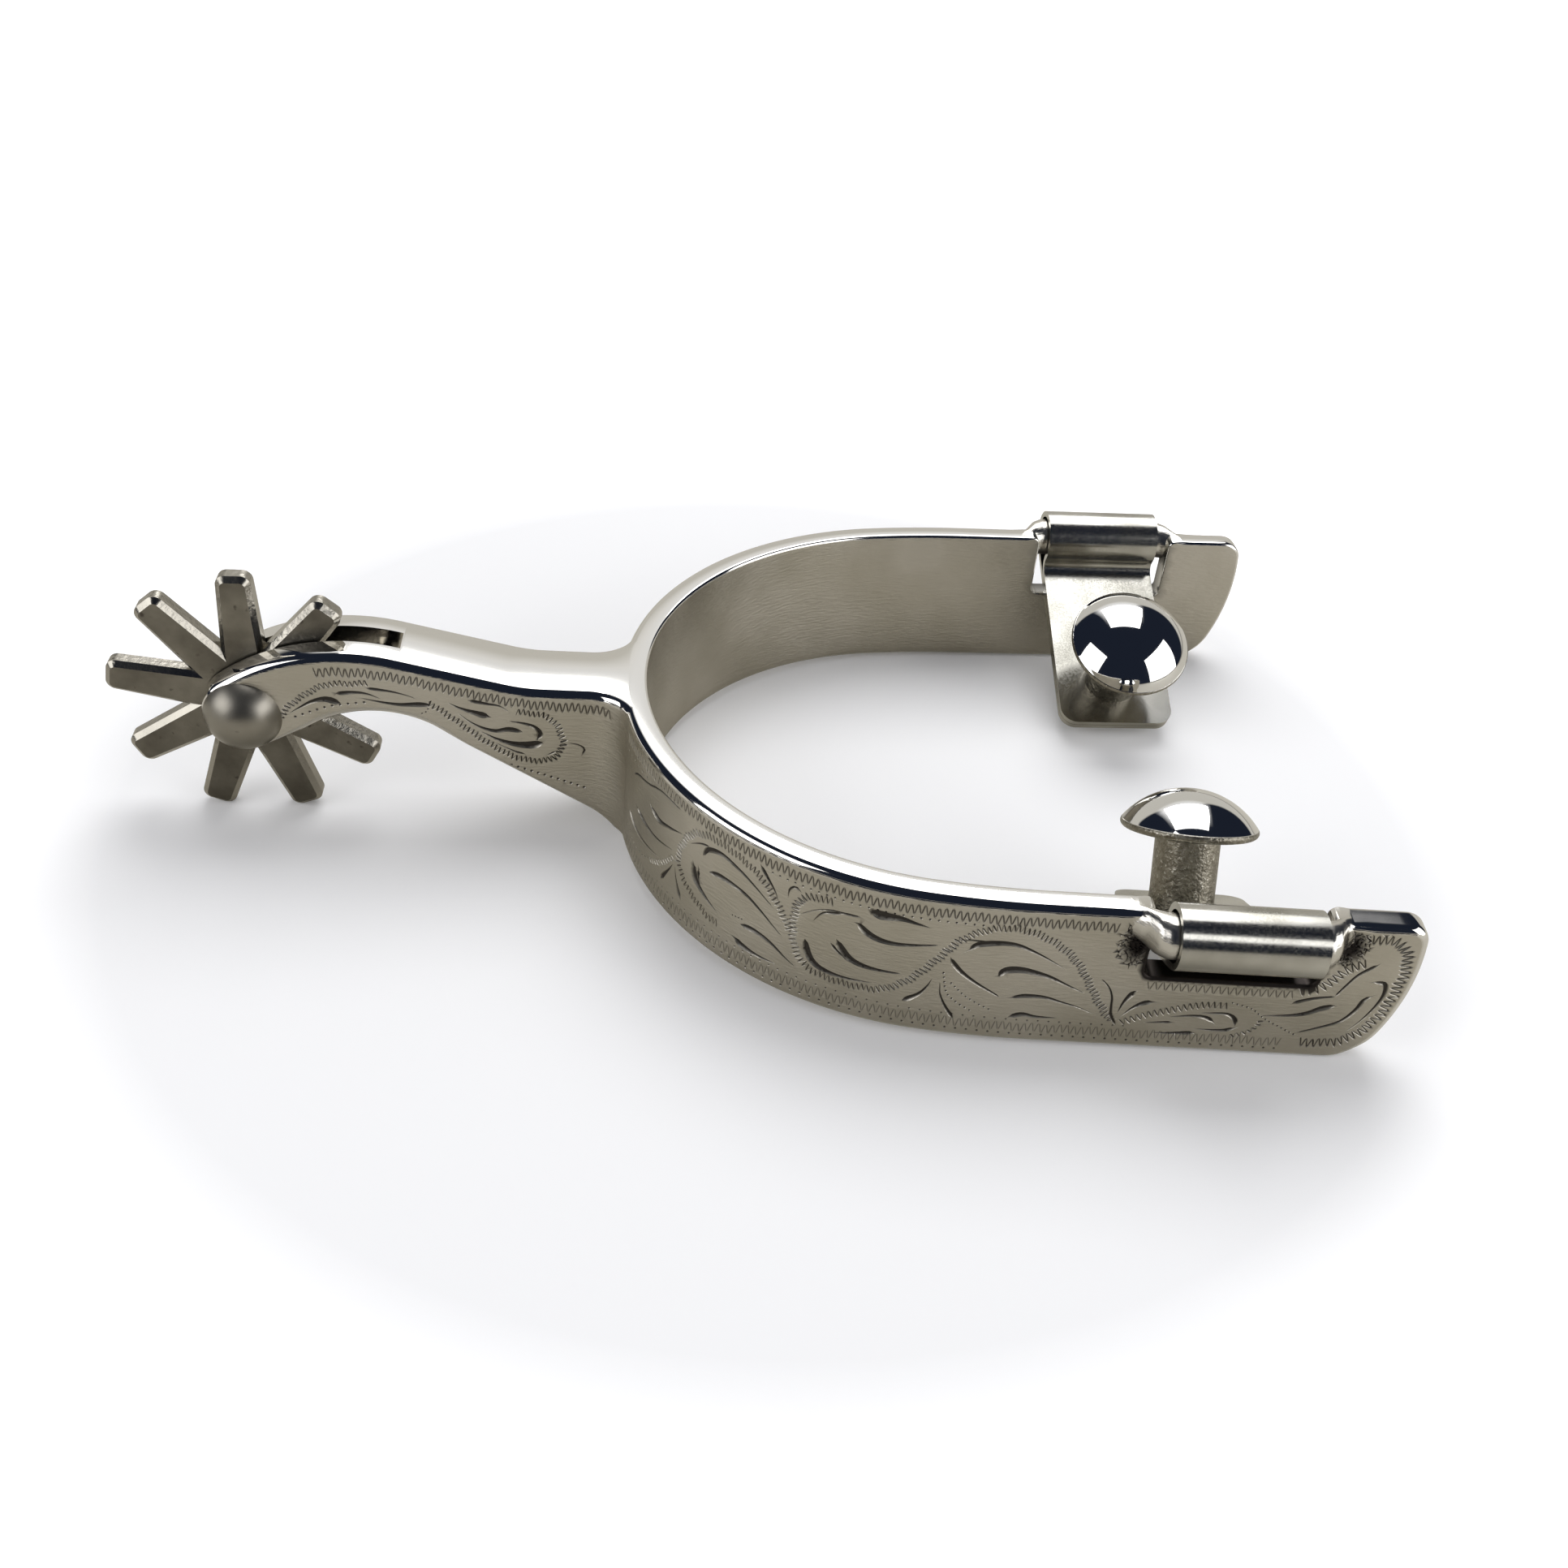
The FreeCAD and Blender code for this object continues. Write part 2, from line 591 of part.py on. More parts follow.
def make_rowel():
    """A flat star of blunt points with bevelled edges."""
    body = new_body("rowel")
    sketch = new_sketch(body, "XZ", "rowel_point_view")
    draw_rowel_point(sketch)
    pad = body.newObject("PartDesign::Pad", "rowel_point")
    pad.Profile = sketch
    pad.Midplane = True
    pad.setExpression("Length", "dims.rowel_wall")
    doc.recompute()
    star = body.newObject("PartDesign::PolarPattern", "rowel_star")
    star.Originals = [pad]
    star.Axis = (sketch, ["N_Axis"])
    star.Angle = 360
    star.setExpression("Occurrences", "dims.rowel_points")
    body.Tip = star
    doc.recompute()
    bevel = body.newObject("PartDesign::Chamfer", "rowel_bevels")
    bevel.Base = (star, rim_edges(star.Shape))
    bevel.setExpression("Size", "dims.rowel_bevel")
    doc.recompute()
    bore_sketch = new_sketch(body, "XZ", "rowel_bore_view")
    circle = bore_sketch.addGeometry(
        Part.Circle(FreeCAD.Vector(0, 0, 0), FreeCAD.Vector(0, 0, 1), size("rowel_bore"))
    )
    rule(bore_sketch, "Coincident", circle, CENTRE, *ORIGIN)
    measure(bore_sketch, "bore", "Radius", (circle,), size("rowel_bore"), "dims.rowel_bore")
    bore = body.newObject("PartDesign::Pocket", "rowel_hole")
    bore.Profile = bore_sketch
    bore.Type = "ThroughAll"
    bore.Midplane = True
    bind(body, {
        "Placement": "placement(vector(-dims.pin_setback; 0; dims.pin_height);"
                     " rotation(vector(0; 1; 0); -dims.rowel_turn * 1 deg))",
    })
    doc.recompute()
    assert bore.Shape.Volume < bevel.Shape.Volume < star.Shape.Volume
    return body


def rim_edges(shape):
    """Edges that outline the star on its two flat faces."""
    half = size("rowel_wall") / 2
    names = []
    for number, edge in enumerate(shape.Edges, start=1):
        ys = [vertex.Y for vertex in edge.Vertexes]
        if all(abs(abs(y) - half) < 1e-6 for y in ys) and abs(ys[0] - ys[-1]) < 1e-6:
            names.append(f"Edge{number}")
    return names


def dome_arc(sketch, radius, rise, base, upward):
    """A cap over the axis: from its rim to its crown if upward, else from crown to rim."""
    ball = (radius ** 2 + rise ** 2) / (2 * rise)
    rim = math.degrees(math.asin(radius / ball))
    if rise > radius:
        rim = 180 - rim
    if upward:
        return arc(sketch, (0, base + rise - ball), ball, 90 - rim, 90)
    return arc(sketch, (0, base - rise + ball), ball, 270, 270 + rim)


def draw_turned_profile(sketch, bottom, top, steps, names):
    """Half of a turned part: a dome at each end and straight steps between them.

    bottom and top are (radius, rise, height of the rim); steps are the corner points between the
    two rims, and names their radius and height expressions.
    """
    cap = dome_arc(sketch, *top[:3], True)
    foot = dome_arc(sketch, *bottom[:3], False)
    crown = (0, top[2] + top[1])
    toe = (0, bottom[2] - bottom[1])
    axis = line(sketch, crown, toe)
    corners = [(bottom[0], bottom[2])] + steps + [(top[0], top[2])]
    sides = [line(sketch, a, b) for a, b in zip(corners, corners[1:])]
    join(sketch, (cap, END, axis, START), (axis, END, foot, START))
    join(sketch, (foot, END, sides[0], START), (sides[-1], END, cap, START))
    for first, second in zip(sides, sides[1:]):
        join(sketch, (first, END, second, START))
    rule(sketch, "PointOnObject", axis, START, -2)
    rule(sketch, "PointOnObject", axis, END, -2)
    rule(sketch, "PointOnObject", cap, CENTRE, -2)
    rule(sketch, "PointOnObject", foot, CENTRE, -2)
    measure(sketch, "crown", "DistanceY", (*ORIGIN, axis, START), crown[1], names["crown"])
    measure(sketch, "toe", "DistanceY", (axis, END, *ORIGIN), -toe[1], names["toe"])
    for index, (point, (radius_rule, height_rule)) in enumerate(zip(corners, names["corners"])):
        place = (sides[index], START) if index < len(sides) else (sides[-1], END)
        across(sketch, f"radius_{index}", place, point[0], radius_rule)
        if point[1] < 0:
            measure(sketch, f"height_{index}", "DistanceY", (*place, *ORIGIN), -point[1],
                    f"-({height_rule})")
        else:
            above(sketch, f"height_{index}", place, point[1], height_rule)


def revolve(body, sketch, name):
    """Turns a sketch round its own vertical axis."""
    turn = body.newObject("PartDesign::Revolution", name)
    turn.Profile = sketch
    turn.ReferenceAxis = (sketch, ["V_Axis"])
    turn.Angle = 360
    body.Tip = turn
    return turn


def make_rowel_pin():
    """The rivet that the rowel turns on, headed over on both cheeks."""
    body = new_body("rowel_pin")
    sketch = new_sketch(body, "XY", "pin_profile")
    half, shaft = size("shank_width") / 2, size("pin_radius")
    head, dome = size("pin_head_radius"), size("pin_head_dome")
    cheek = "dims.shank_width / 2"
    draw_turned_profile(
        sketch, (head, dome, -half), (head, dome, half), [(shaft, -half), (shaft, half)],
        {
            "crown": f"{cheek} + dims.pin_head_dome",
            "toe": f"{cheek} + dims.pin_head_dome",
            "corners": [
                ("dims.pin_head_radius", f"-{cheek}"),
                ("dims.pin_radius", f"-{cheek}"),
                ("dims.pin_radius", cheek),
                ("dims.pin_head_radius", cheek),
            ],
        },
    )
    revolve(body, sketch, "pin_turning")
    bind(body, {
        "Placement.Base.x": "-dims.pin_setback",
        "Placement.Base.z": "dims.pin_height",
    })
    doc.recompute()
    return body


# ---------------------------------------------------------------- strap buttons


def draw_plate_profile(sketch):
    """End view of a strip rolled round the hinge bar, with its two leaves laid together.

    The rear leaf runs straight off the barrel; the front leaf, on the stud's side, bends in to it.
    """
    outer, wall = size("barrel_radius"), size("strip_wall")
    face = outer - 2 * size("leaf_half")
    drop, reach = size("fold_drop"), size("plate_reach")
    bend = (drop ** 2 + face ** 2 - outer ** 2) / (2 * (outer + face))
    centre = (bend - face, -drop)
    turn = bearing((0, 0), centre)
    bore = outer - wall

    barrel = arc(sketch, (0, 0), outer, turn, 180)
    hollow = arc(sketch, (0, 0), bore, turn, 180)
    outer_bend = arc(sketch, centre, bend, turn + 180, 180)
    inner_bend = arc(sketch, centre, bend + wall, turn + 180, 180)
    front_face = line(sketch, (-face, -drop), (-face, -reach))
    front_foot = line(sketch, (-face, -reach), (-face - wall, -reach))
    front_seam = line(sketch, (-face - wall, -reach), (-face - wall, -drop))
    rear_seam = line(sketch, (-bore, 0), (-bore, -reach))
    rear_foot = line(sketch, (-bore, -reach), (-outer, -reach))
    rear_face = line(sketch, (-outer, -reach), (-outer, 0))

    flow(sketch, (barrel, START, outer_bend, START), (hollow, START, inner_bend, START))
    flow(sketch, (outer_bend, END, front_face, START), (inner_bend, END, front_seam, END))
    flow(sketch, (barrel, END, rear_face, END), (hollow, END, rear_seam, START))
    join(sketch, (front_face, END, front_foot, START), (front_foot, END, front_seam, START))
    join(sketch, (rear_seam, END, rear_foot, START), (rear_foot, END, rear_face, START))
    rule(sketch, "Coincident", barrel, CENTRE, *ORIGIN)
    rule(sketch, "Coincident", hollow, CENTRE, *ORIGIN)
    rule(sketch, "Coincident", outer_bend, CENTRE, inner_bend, CENTRE)
    upright(sketch, front_face, front_seam, rear_seam, rear_face)
    level(sketch, front_foot, rear_foot)
    measure(sketch, "barrel", "Radius", (barrel,), outer, "dims.barrel_radius")
    measure(sketch, "bore", "Radius", (hollow,), bore, "dims.barrel_radius - dims.strip_wall")
    measure(sketch, "face", "DistanceX", (front_face, START, *ORIGIN), face,
            "dims.barrel_radius - 2 * dims.leaf_half")
    measure(sketch, "drop", "DistanceY", (outer_bend, CENTRE, *ORIGIN), drop, "dims.fold_drop")
    for side, foot in (("front", front_foot), ("rear", rear_foot)):
        measure(sketch, f"{side}_reach", "DistanceY", (foot, START, *ORIGIN), reach,
                "dims.plate_reach")


def foot_corner_edges(shape):
    """The short edges through both leaves at the two corners of the foot."""
    reach, half_width = size("plate_reach"), size("plate_width") / 2
    names = []
    for number, edge in enumerate(shape.Edges, start=1):
        ends = [vertex.Point for vertex in edge.Vertexes]
        low = all(abs(point.z + reach) < 1e-6 for point in ends)
        side = all(abs(abs(point.x) - half_width) < 1e-6 for point in ends)
        if low and side and edge.Length < size("plate_width") / 2:
            names.append(f"Edge{number}")
    return names


def hinge_place(side):
    """The frame of a button: hinge axis along x, plate hanging down -z, stud along +y."""
    turn = "180 + dims.arm_splay" if side == "left" else "-dims.arm_splay"
    sign = "" if side == "left" else "-"
    splay = "(dims.arm_splay * 1 deg)"
    x = f"{ARM_X} + dims.plate_centre * cos{splay} - dims.bar_offset * sin{splay}"
    y = f"{ARM_Y} + dims.plate_centre * sin{splay} + dims.bar_offset * cos{splay}"
    along = f"rotation(vector(0; 0; 1); ({turn}) * 1 deg)"
    axis = f"placement(vector({x}; {sign}({y}); dims.bar_height); {along})"
    swing = "placement(vector(0; 0; 0); rotation(vector(1; 0; 0); dims.plate_swing * 1 deg))"
    return f"{axis} * {swing}"


def make_button_plate(side):
    """The swinging plate of one strap button."""
    name = f"{side}_button_plate"
    body = new_body(name)
    sketch = new_sketch(body, "YZ", name + "_end_view")
    draw_plate_profile(sketch)
    pad = body.newObject("PartDesign::Pad", name + "_pad")
    pad.Profile = sketch
    pad.Midplane = True
    pad.setExpression("Length", "dims.plate_width")
    doc.recompute()
    corners = body.newObject("PartDesign::Fillet", name + "_corners")
    corners.Base = (pad, foot_corner_edges(pad.Shape))
    corners.setExpression("Radius", "dims.plate_corner")
    doc.recompute()
    hole_sketch = new_sketch(body, "XZ", name + "_hole_view")
    radius = size("stud_tail_radius") + size("rivet_gap")
    shift = size(f"{side}_stud_shift")
    middle = (shift if side == "left" else -shift, -size("stud_drop"), 0)
    circle = hole_sketch.addGeometry(
        Part.Circle(FreeCAD.Vector(*middle), FreeCAD.Vector(0, 0, 1), radius)
    )
    ends = (*ORIGIN, circle, CENTRE) if side == "left" else (circle, CENTRE, *ORIGIN)
    measure(hole_sketch, "shift", "DistanceX", ends, shift, f"dims.{side}_stud_shift")
    measure(hole_sketch, "drop", "DistanceY", (circle, CENTRE, *ORIGIN), size("stud_drop"),
            "dims.stud_drop")
    measure(hole_sketch, "hole", "Radius", (circle,), radius,
            "dims.stud_tail_radius + dims.rivet_gap")
    hole = body.newObject("PartDesign::Pocket", name + "_hole")
    hole.Profile = hole_sketch
    hole.Type = "ThroughAll"
    hole.Midplane = True
    body.setExpression("Placement", hinge_place(side))
    doc.recompute()
    assert hole.Shape.Volume < corners.Shape.Volume < pad.Shape.Volume
    return body


def make_button_stud(side):
    """The turned stud that the strap's slot is pushed over, riveted through the plate."""
    name = f"{side}_button_stud"
    body = new_body(name)
    sketch = new_sketch(body, "XY", name + "_profile")
    half, tail, neck = size("leaf_half"), size("stud_tail_radius"), size("stud_neck_radius")
    base, rim = size("stud_head_base"), size("stud_rim")
    head, peen = size("stud_head_radius"), size("stud_peen_radius")
    draw_turned_profile(
        sketch, (peen, size("stud_peen"), -half), (head, size("stud_dome"), base + rim),
        [(tail, -half), (tail, half), (neck, half), (neck, base), (head, base)],
        {
            "crown": "dims.stud_head_base + dims.stud_rim + dims.stud_dome",
            "toe": "dims.leaf_half + dims.stud_peen",
            "corners": [
                ("dims.stud_peen_radius", "-dims.leaf_half"),
                ("dims.stud_tail_radius", "-dims.leaf_half"),
                ("dims.stud_tail_radius", "dims.leaf_half"),
                ("dims.stud_neck_radius", "dims.leaf_half"),
                ("dims.stud_neck_radius", "dims.stud_head_base"),
                ("dims.stud_head_radius", "dims.stud_head_base"),
                ("dims.stud_head_radius", "dims.stud_head_base + dims.stud_rim"),
            ],
        },
    )
    revolve(body, sketch, name + "_turning")
    shift = "dims.left_stud_shift" if side == "left" else "-dims.right_stud_shift"
    middle = "dims.leaf_half - dims.barrel_radius"
    where = f"vector({shift}; {middle}; -dims.stud_drop)"
    seat = f"placement({where}; rotation(vector(0; 0; 1); 0 deg))"
    body.setExpression("Placement", f"{hinge_place(side)} * {seat}")
    doc.recompute()
    return body


# ---------------------------------------------------------------- build, check and export


def check_document():
    for item in doc.Objects:
        if "Invalid" in item.State or "Error" in item.State:
            raise RuntimeError(f"{item.Name} failed: {item.State}")


def export(item):
    shape = item.Shape
    if shape.isNull() or not shape.isValid() or len(shape.Solids) != 1:
        raise RuntimeError(f"{item.Label} is not one valid solid")
    shape.exportStep(f"parts/{item.Label}.step")
    box = shape.BoundBox
    print(f"{item.Label}: {shape.Volume:.1f} mm3,"
          f" x {box.XMin:.2f}..{box.XMax:.2f},"
          f" y {box.YMin:.2f}..{box.YMax:.2f},"
          f" z {box.ZMin:.2f}..{box.ZMax:.2f}")


pieces = [make_spur_body(), make_rowel(), make_rowel_pin()]
for side_name in ("left", "right"):
    pieces.append(make_button_plate(side_name))
    pieces.append(make_button_stud(side_name))
doc.recompute()
check_document()
os.makedirs("parts", exist_ok=True)
for piece in pieces:
    export(piece)
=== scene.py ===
"""A western heel spur on a white table: engraved band and shank, star rowel, two hinged strap buttons.

The shapes are worked out in millimetres in the frame of the CAD part (+X towards the toe of the boot,
+Y to the wearer's left, +Z up) and turned into metres when their meshes are made.
"""

import math

import bmesh
import bpy
import numpy as np
from mathutils import Matrix, Vector
from mathutils.geometry import delaunay_2d_cdt
from mathutils.kdtree import KDTree


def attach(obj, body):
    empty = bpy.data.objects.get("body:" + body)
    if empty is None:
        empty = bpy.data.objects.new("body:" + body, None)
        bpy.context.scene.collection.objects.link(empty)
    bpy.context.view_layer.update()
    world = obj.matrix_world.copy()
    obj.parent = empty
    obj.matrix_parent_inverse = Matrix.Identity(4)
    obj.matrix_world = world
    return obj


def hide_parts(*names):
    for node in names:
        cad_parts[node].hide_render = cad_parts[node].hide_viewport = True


MM = 0.001

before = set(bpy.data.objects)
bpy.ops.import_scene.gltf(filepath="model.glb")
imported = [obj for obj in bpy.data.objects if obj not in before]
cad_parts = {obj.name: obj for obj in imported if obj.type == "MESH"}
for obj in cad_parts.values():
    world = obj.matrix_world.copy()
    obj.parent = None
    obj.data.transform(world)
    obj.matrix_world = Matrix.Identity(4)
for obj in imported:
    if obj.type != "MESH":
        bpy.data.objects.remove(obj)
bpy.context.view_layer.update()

# ---- the spur's dimensions, in mm

HEIGHT = 19.05  # of the band
WALL = 3.0  # the band's thickness
CROWN = 36.5  # inner radius of the heel seat
CROWN_HALF = math.radians(80.5)  # half the angle it covers
SHOULDER = 95.0  # inner radius between the heel seat and an arm
SPLAY = math.radians(2.3)  # how far the arms open
ARM = 40.0  # length of the straight part
NOSE = 26.5  # radius of the arm's rounded end
NOSE_Z = 13.5
WINDOW = (10.95, 29.3)  # start and end of the window along the arm
SILL = 10.3  # the window's lower edge
BAR_RADIUS = 2.45  # of the hinge bar
BAR_Z = 17.15
BAR_OUT = 4.05  # from the wall's inner face to the bar's axis
BAR_SPAN = (12.4, 28.1)  # its round part, along the arm
REAR_BLEND = 4.0  # lengths over which it swells out of the wall
FRONT_BLEND = 3.6
CHEEK = 9.525 / 2  # half the shank's width

# The outer wall is unrolled: `along` runs from the middle of the heel round to the end of an arm.
TURN = math.pi - CROWN_HALF
CENTRE_X = (CROWN - SHOULDER) * math.cos(TURN)
CENTRE_Y = (CROWN - SHOULDER) * math.sin(TURN)
CROWN_END = (CROWN + WALL) * CROWN_HALF
ARM_START = CROWN_END + (SHOULDER + WALL) * (math.pi / 2 - CROWN_HALF - SPLAY)
ARM_X = CENTRE_X + SHOULDER * math.cos(math.pi / 2 + SPLAY)
ARM_Y = CENTRE_Y + SHOULDER * math.sin(math.pi / 2 + SPLAY)
TIP = ARM_START + ARM
WINDOW_REAR = ARM_START + WINDOW[0]
WINDOW_FRONT = ARM_START + WINDOW[1]


def band_point(along, out):
    """Places of points of the left half: `along` the unrolled wall, `out` from the inner face."""
    along, out = np.asarray(along, float), np.asarray(out, float)
    crown = math.pi - along / (CROWN + WALL)
    shoulder = TURN - (along - CROWN_END) / (SHOULDER + WALL)
    arm = along - ARM_START
    x_crown, y_crown = (CROWN + out) * np.cos(crown), (CROWN + out) * np.sin(crown)
    x_shoulder = CENTRE_X + (SHOULDER + out) * np.cos(shoulder)
    y_shoulder = CENTRE_Y + (SHOULDER + out) * np.sin(shoulder)
    x_arm = ARM_X + arm * math.cos(SPLAY) - out * math.sin(SPLAY)
    y_arm = ARM_Y + arm * math.sin(SPLAY) + out * math.cos(SPLAY)
    x = np.where(along < CROWN_END, x_crown, np.where(along < ARM_START, x_shoulder, x_arm))
    y = np.where(along < CROWN_END, y_crown, np.where(along < ARM_START, y_shoulder, y_arm))
    return x, y


# ---- plane curves


CURVE_STEPS = 12  # between two given points


def curve_through(points, step=0.35):
    """A smooth line through given points, as evenly spaced points."""
    p = np.array(points, float)
    if len(p) == 2:
        count = max(2, int(np.linalg.norm(p[1] - p[0]) / step) + 1)
        return p[0] + (p[1] - p[0]) * np.linspace(0, 1, count)[:, None]
    ext = np.vstack([2 * p[0] - p[1], p, 2 * p[-1] - p[-2]])
    fine = []
    for a, b, c, d in zip(ext, ext[1:], ext[2:], ext[3:]):
        t = np.linspace(0, 1, CURVE_STEPS, endpoint=False)[:, None]
        fine.append(0.5 * (2 * b + (c - a) * t + (2 * a - 5 * b + 4 * c - d) * t**2
                           + (3 * b - a - 3 * c + d) * t**3))
    fine = np.vstack(fine + [p[-1:]])
    run = np.concatenate([[0], np.cumsum(np.linalg.norm(np.diff(fine, axis=0), axis=1))])
    even = np.linspace(0, run[-1], max(3, int(run[-1] / step) + 1))
    return np.stack([np.interp(even, run, fine[:, i]) for i in (0, 1)], 1)


def normals(path):
    """Directions square to a path, on its left."""
    d = np.gradient(path, axis=0)
    d /= np.linalg.norm(d, axis=1)[:, None]
    return np.stack([-d[:, 1], d[:, 0]], 1)


def arc_points(centre, radius, start, end, step=0.5):
    """Points of an arc from one angle to another, in degrees."""
    count = max(3, int(abs(math.radians(end - start)) * radius / step) + 2)
    turn = np.radians(np.linspace(start, end, count))
    return [(centre[0] + radius * math.cos(a), centre[1] + radius * math.sin(a)) for a in turn]


def straight(a, b, step=0.9):
    """Points of a straight line."""
    count = max(1, int(math.dist(a, b) / step))
    return [(a[0] + (b[0] - a[0]) * i / count, a[1] + (b[1] - a[1]) * i / count)
            for i in range(count + 1)]


def tidy_loop(points, gap=0.02):
    """Drops points that repeat their neighbour."""
    kept = [points[0]]
    for p in points[1:]:
        if math.dist(p, kept[-1]) > gap:
            kept.append(p)
    return np.array(kept)


# ---- engraving

FLAT = 0.45  # share of a cut's width that is its flat bottom
THIN_END = 0.02  # half width of the thin ends of a nick
HEAD_SHARE = 0.16  # share of a leaf stroke's length before it is broadest
BROADER = 1.2  # the leaf strokes are drawn a little broader than listed,
HEAVIER = (1.3, 1.2)  # and the zigzags' nicks wider and deeper
DEEPEST = 0.26
SLAB = 1.5  # the depths are worked out in slabs this wide
BLACK_DEPTH = 0.085  # a cut this deep holds all the grime it can
GRIME = 0.9
NARROW = 0.7  # zigzags that reach less than this far are the outlines of lobes


class Engraving:
    """Cuts in a plane wall. `segments` has two ends, two half widths and two depths for each short cut;
    `points` and `edges` are the lines that the wall's triangles have to follow."""

    def __init__(self):
        self.points = []
        self.edges = []
        self.segments = []

    def add_row(self, row):
        first = len(self.points)
        self.points += [tuple(p) for p in row]
        self.edges += [(i, i + 1) for i in range(first, first + len(row) - 1)]

    def groove(self, path, half, depth):
        """A groove along a path, with sloping sides and a flat bottom."""
        n = normals(path)
        for share in (0, 1, -1, FLAT, -FLAT):
            self.add_row(path + n * (half * share)[:, None])
        for i in range(len(path) - 1):
            self.segments.append((*path[i], *path[i + 1], half[i], half[i + 1], depth[i], depth[i + 1]))

    def stroke(self, points, head, tail=0.12, deep=0.34):
        """A leaf stroke: broad soon after its head and thinning out to its tail."""
        path = curve_through(points)
        t = np.linspace(0, 1, len(path))
        growing = 0.45 + 0.55 * np.sin(t / HEAD_SHARE * math.pi / 2)
        thinning = (1 - (t - HEAD_SHARE) / (1 - HEAD_SHARE)) ** 1.25
        head *= BROADER
        width = tail + (head - tail) * np.where(t < HEAD_SHARE, growing, thinning)
        width[0] = 0.35 * width[1]
        width[-1] = 0.04
        self.groove(path, width / 2, np.minimum(width * deep, DEEPEST))

    def nick(self, a, b, width, depth):
        """One short cut of the graver, lens-shaped."""
        a, b = np.array(a), np.array(b)
        d = b - a
        n = np.array([-d[1], d[0]]) / max(np.linalg.norm(d), 1e-6) * width / 2
        near, far = a + d * 0.2, b - d * 0.2
        first = len(self.points)
        self.points += [tuple(p) for p in (a, b, near, far, near + n, far + n, near - n, far - n)]
        self.edges += [(first + i, first + j) for i, j in (
            (0, 2), (2, 3), (3, 1), (0, 4), (4, 5), (5, 1), (0, 6), (6, 7), (7, 1))]
        self.segments.append((*a, *near, THIN_END, width / 2, 0.0, depth))
        self.segments.append((*near, *far, width / 2, width / 2, depth, depth))
        self.segments.append((*far, *b, width / 2, THIN_END, depth, 0.0))

    def wriggle(self, points, pitch, reach, width=0.2, depth=0.08, wander=0.0):
        """A zigzag: the graver is walked from side to side along a path. A narrow one has weak returns."""
        path = curve_through(points, pitch / 2)
        index = np.arange(len(path))
        side = np.where(index % 2 == 0, 1.0, -1.0)
        uneven = 1 + wander * np.sin(index * 2.4)
        ends = path + normals(path) * (side * reach * uneven)[:, None]
        for k, (a, b) in enumerate(zip(ends, ends[1:])):
            gap = (b - a) * 0.06
            weak = 0.5 if reach < NARROW and k % 2 else 1.0
            self.nick(a + gap, b - gap, width * HEAVIER[0] * weak, depth * HEAVIER[1] * weak)

    def dots(self, points, pitch, size=0.32, depth=0.12):
        """A row of small punch marks."""
        radius = min(size * 1.3, pitch * 0.55) / 2
        around = np.arange(6) * math.pi / 3
        ring = np.stack([np.cos(around), np.sin(around)], 1) * radius
        for p in curve_through(points, pitch):
            first = len(self.points)
            self.points += [tuple(q) for q in np.vstack([p + ring, p + ring[::2] * FLAT])]
            self.edges += [(first + i, first + (i + 1) % 6) for i in range(6)]
            self.edges += [(first + 6 + i, first + 6 + (i + 1) % 3) for i in range(3)]
            self.segments.append((*p, *p, radius, radius, depth, depth))

    def depth_at(self, p):
        """How deep the engraving is at many points."""
        deep = np.zeros(len(p))
        s = np.array(self.segments)
        low = np.minimum(s[:, 0], s[:, 2]) - np.maximum(s[:, 4], s[:, 5])
        high = np.maximum(s[:, 0], s[:, 2]) + np.maximum(s[:, 4], s[:, 5])
        for left in np.arange(p[:, 0].min(), p[:, 0].max() + SLAB, SLAB):
            here = np.nonzero((p[:, 0] >= left) & (p[:, 0] < left + SLAB))[0]
            near = s[(high >= left) & (low < left + SLAB)]
            if not len(here) or not len(near):
                continue
            a, d = near[:, :2], near[:, 2:4] - near[:, :2]
            rel = p[here][:, None] - a[None]
            t = np.clip((rel * d).sum(2) / np.maximum((d * d).sum(1), 1e-9), 0, 1)
            off = np.linalg.norm(rel - t[..., None] * d, axis=2)
            half = near[:, 4] * (1 - t) + near[:, 5] * t
            full = near[:, 6] * (1 - t) + near[:, 7] * t
            deep[here] = (full * np.clip((1 - off / half) / (1 - FLAT), 0, 1)).max(1)
        return deep


def grime(deep):
    """How dark a cut is at a depth."""
    return np.clip(deep / BLACK_DEPTH, 0, 1) * GRIME


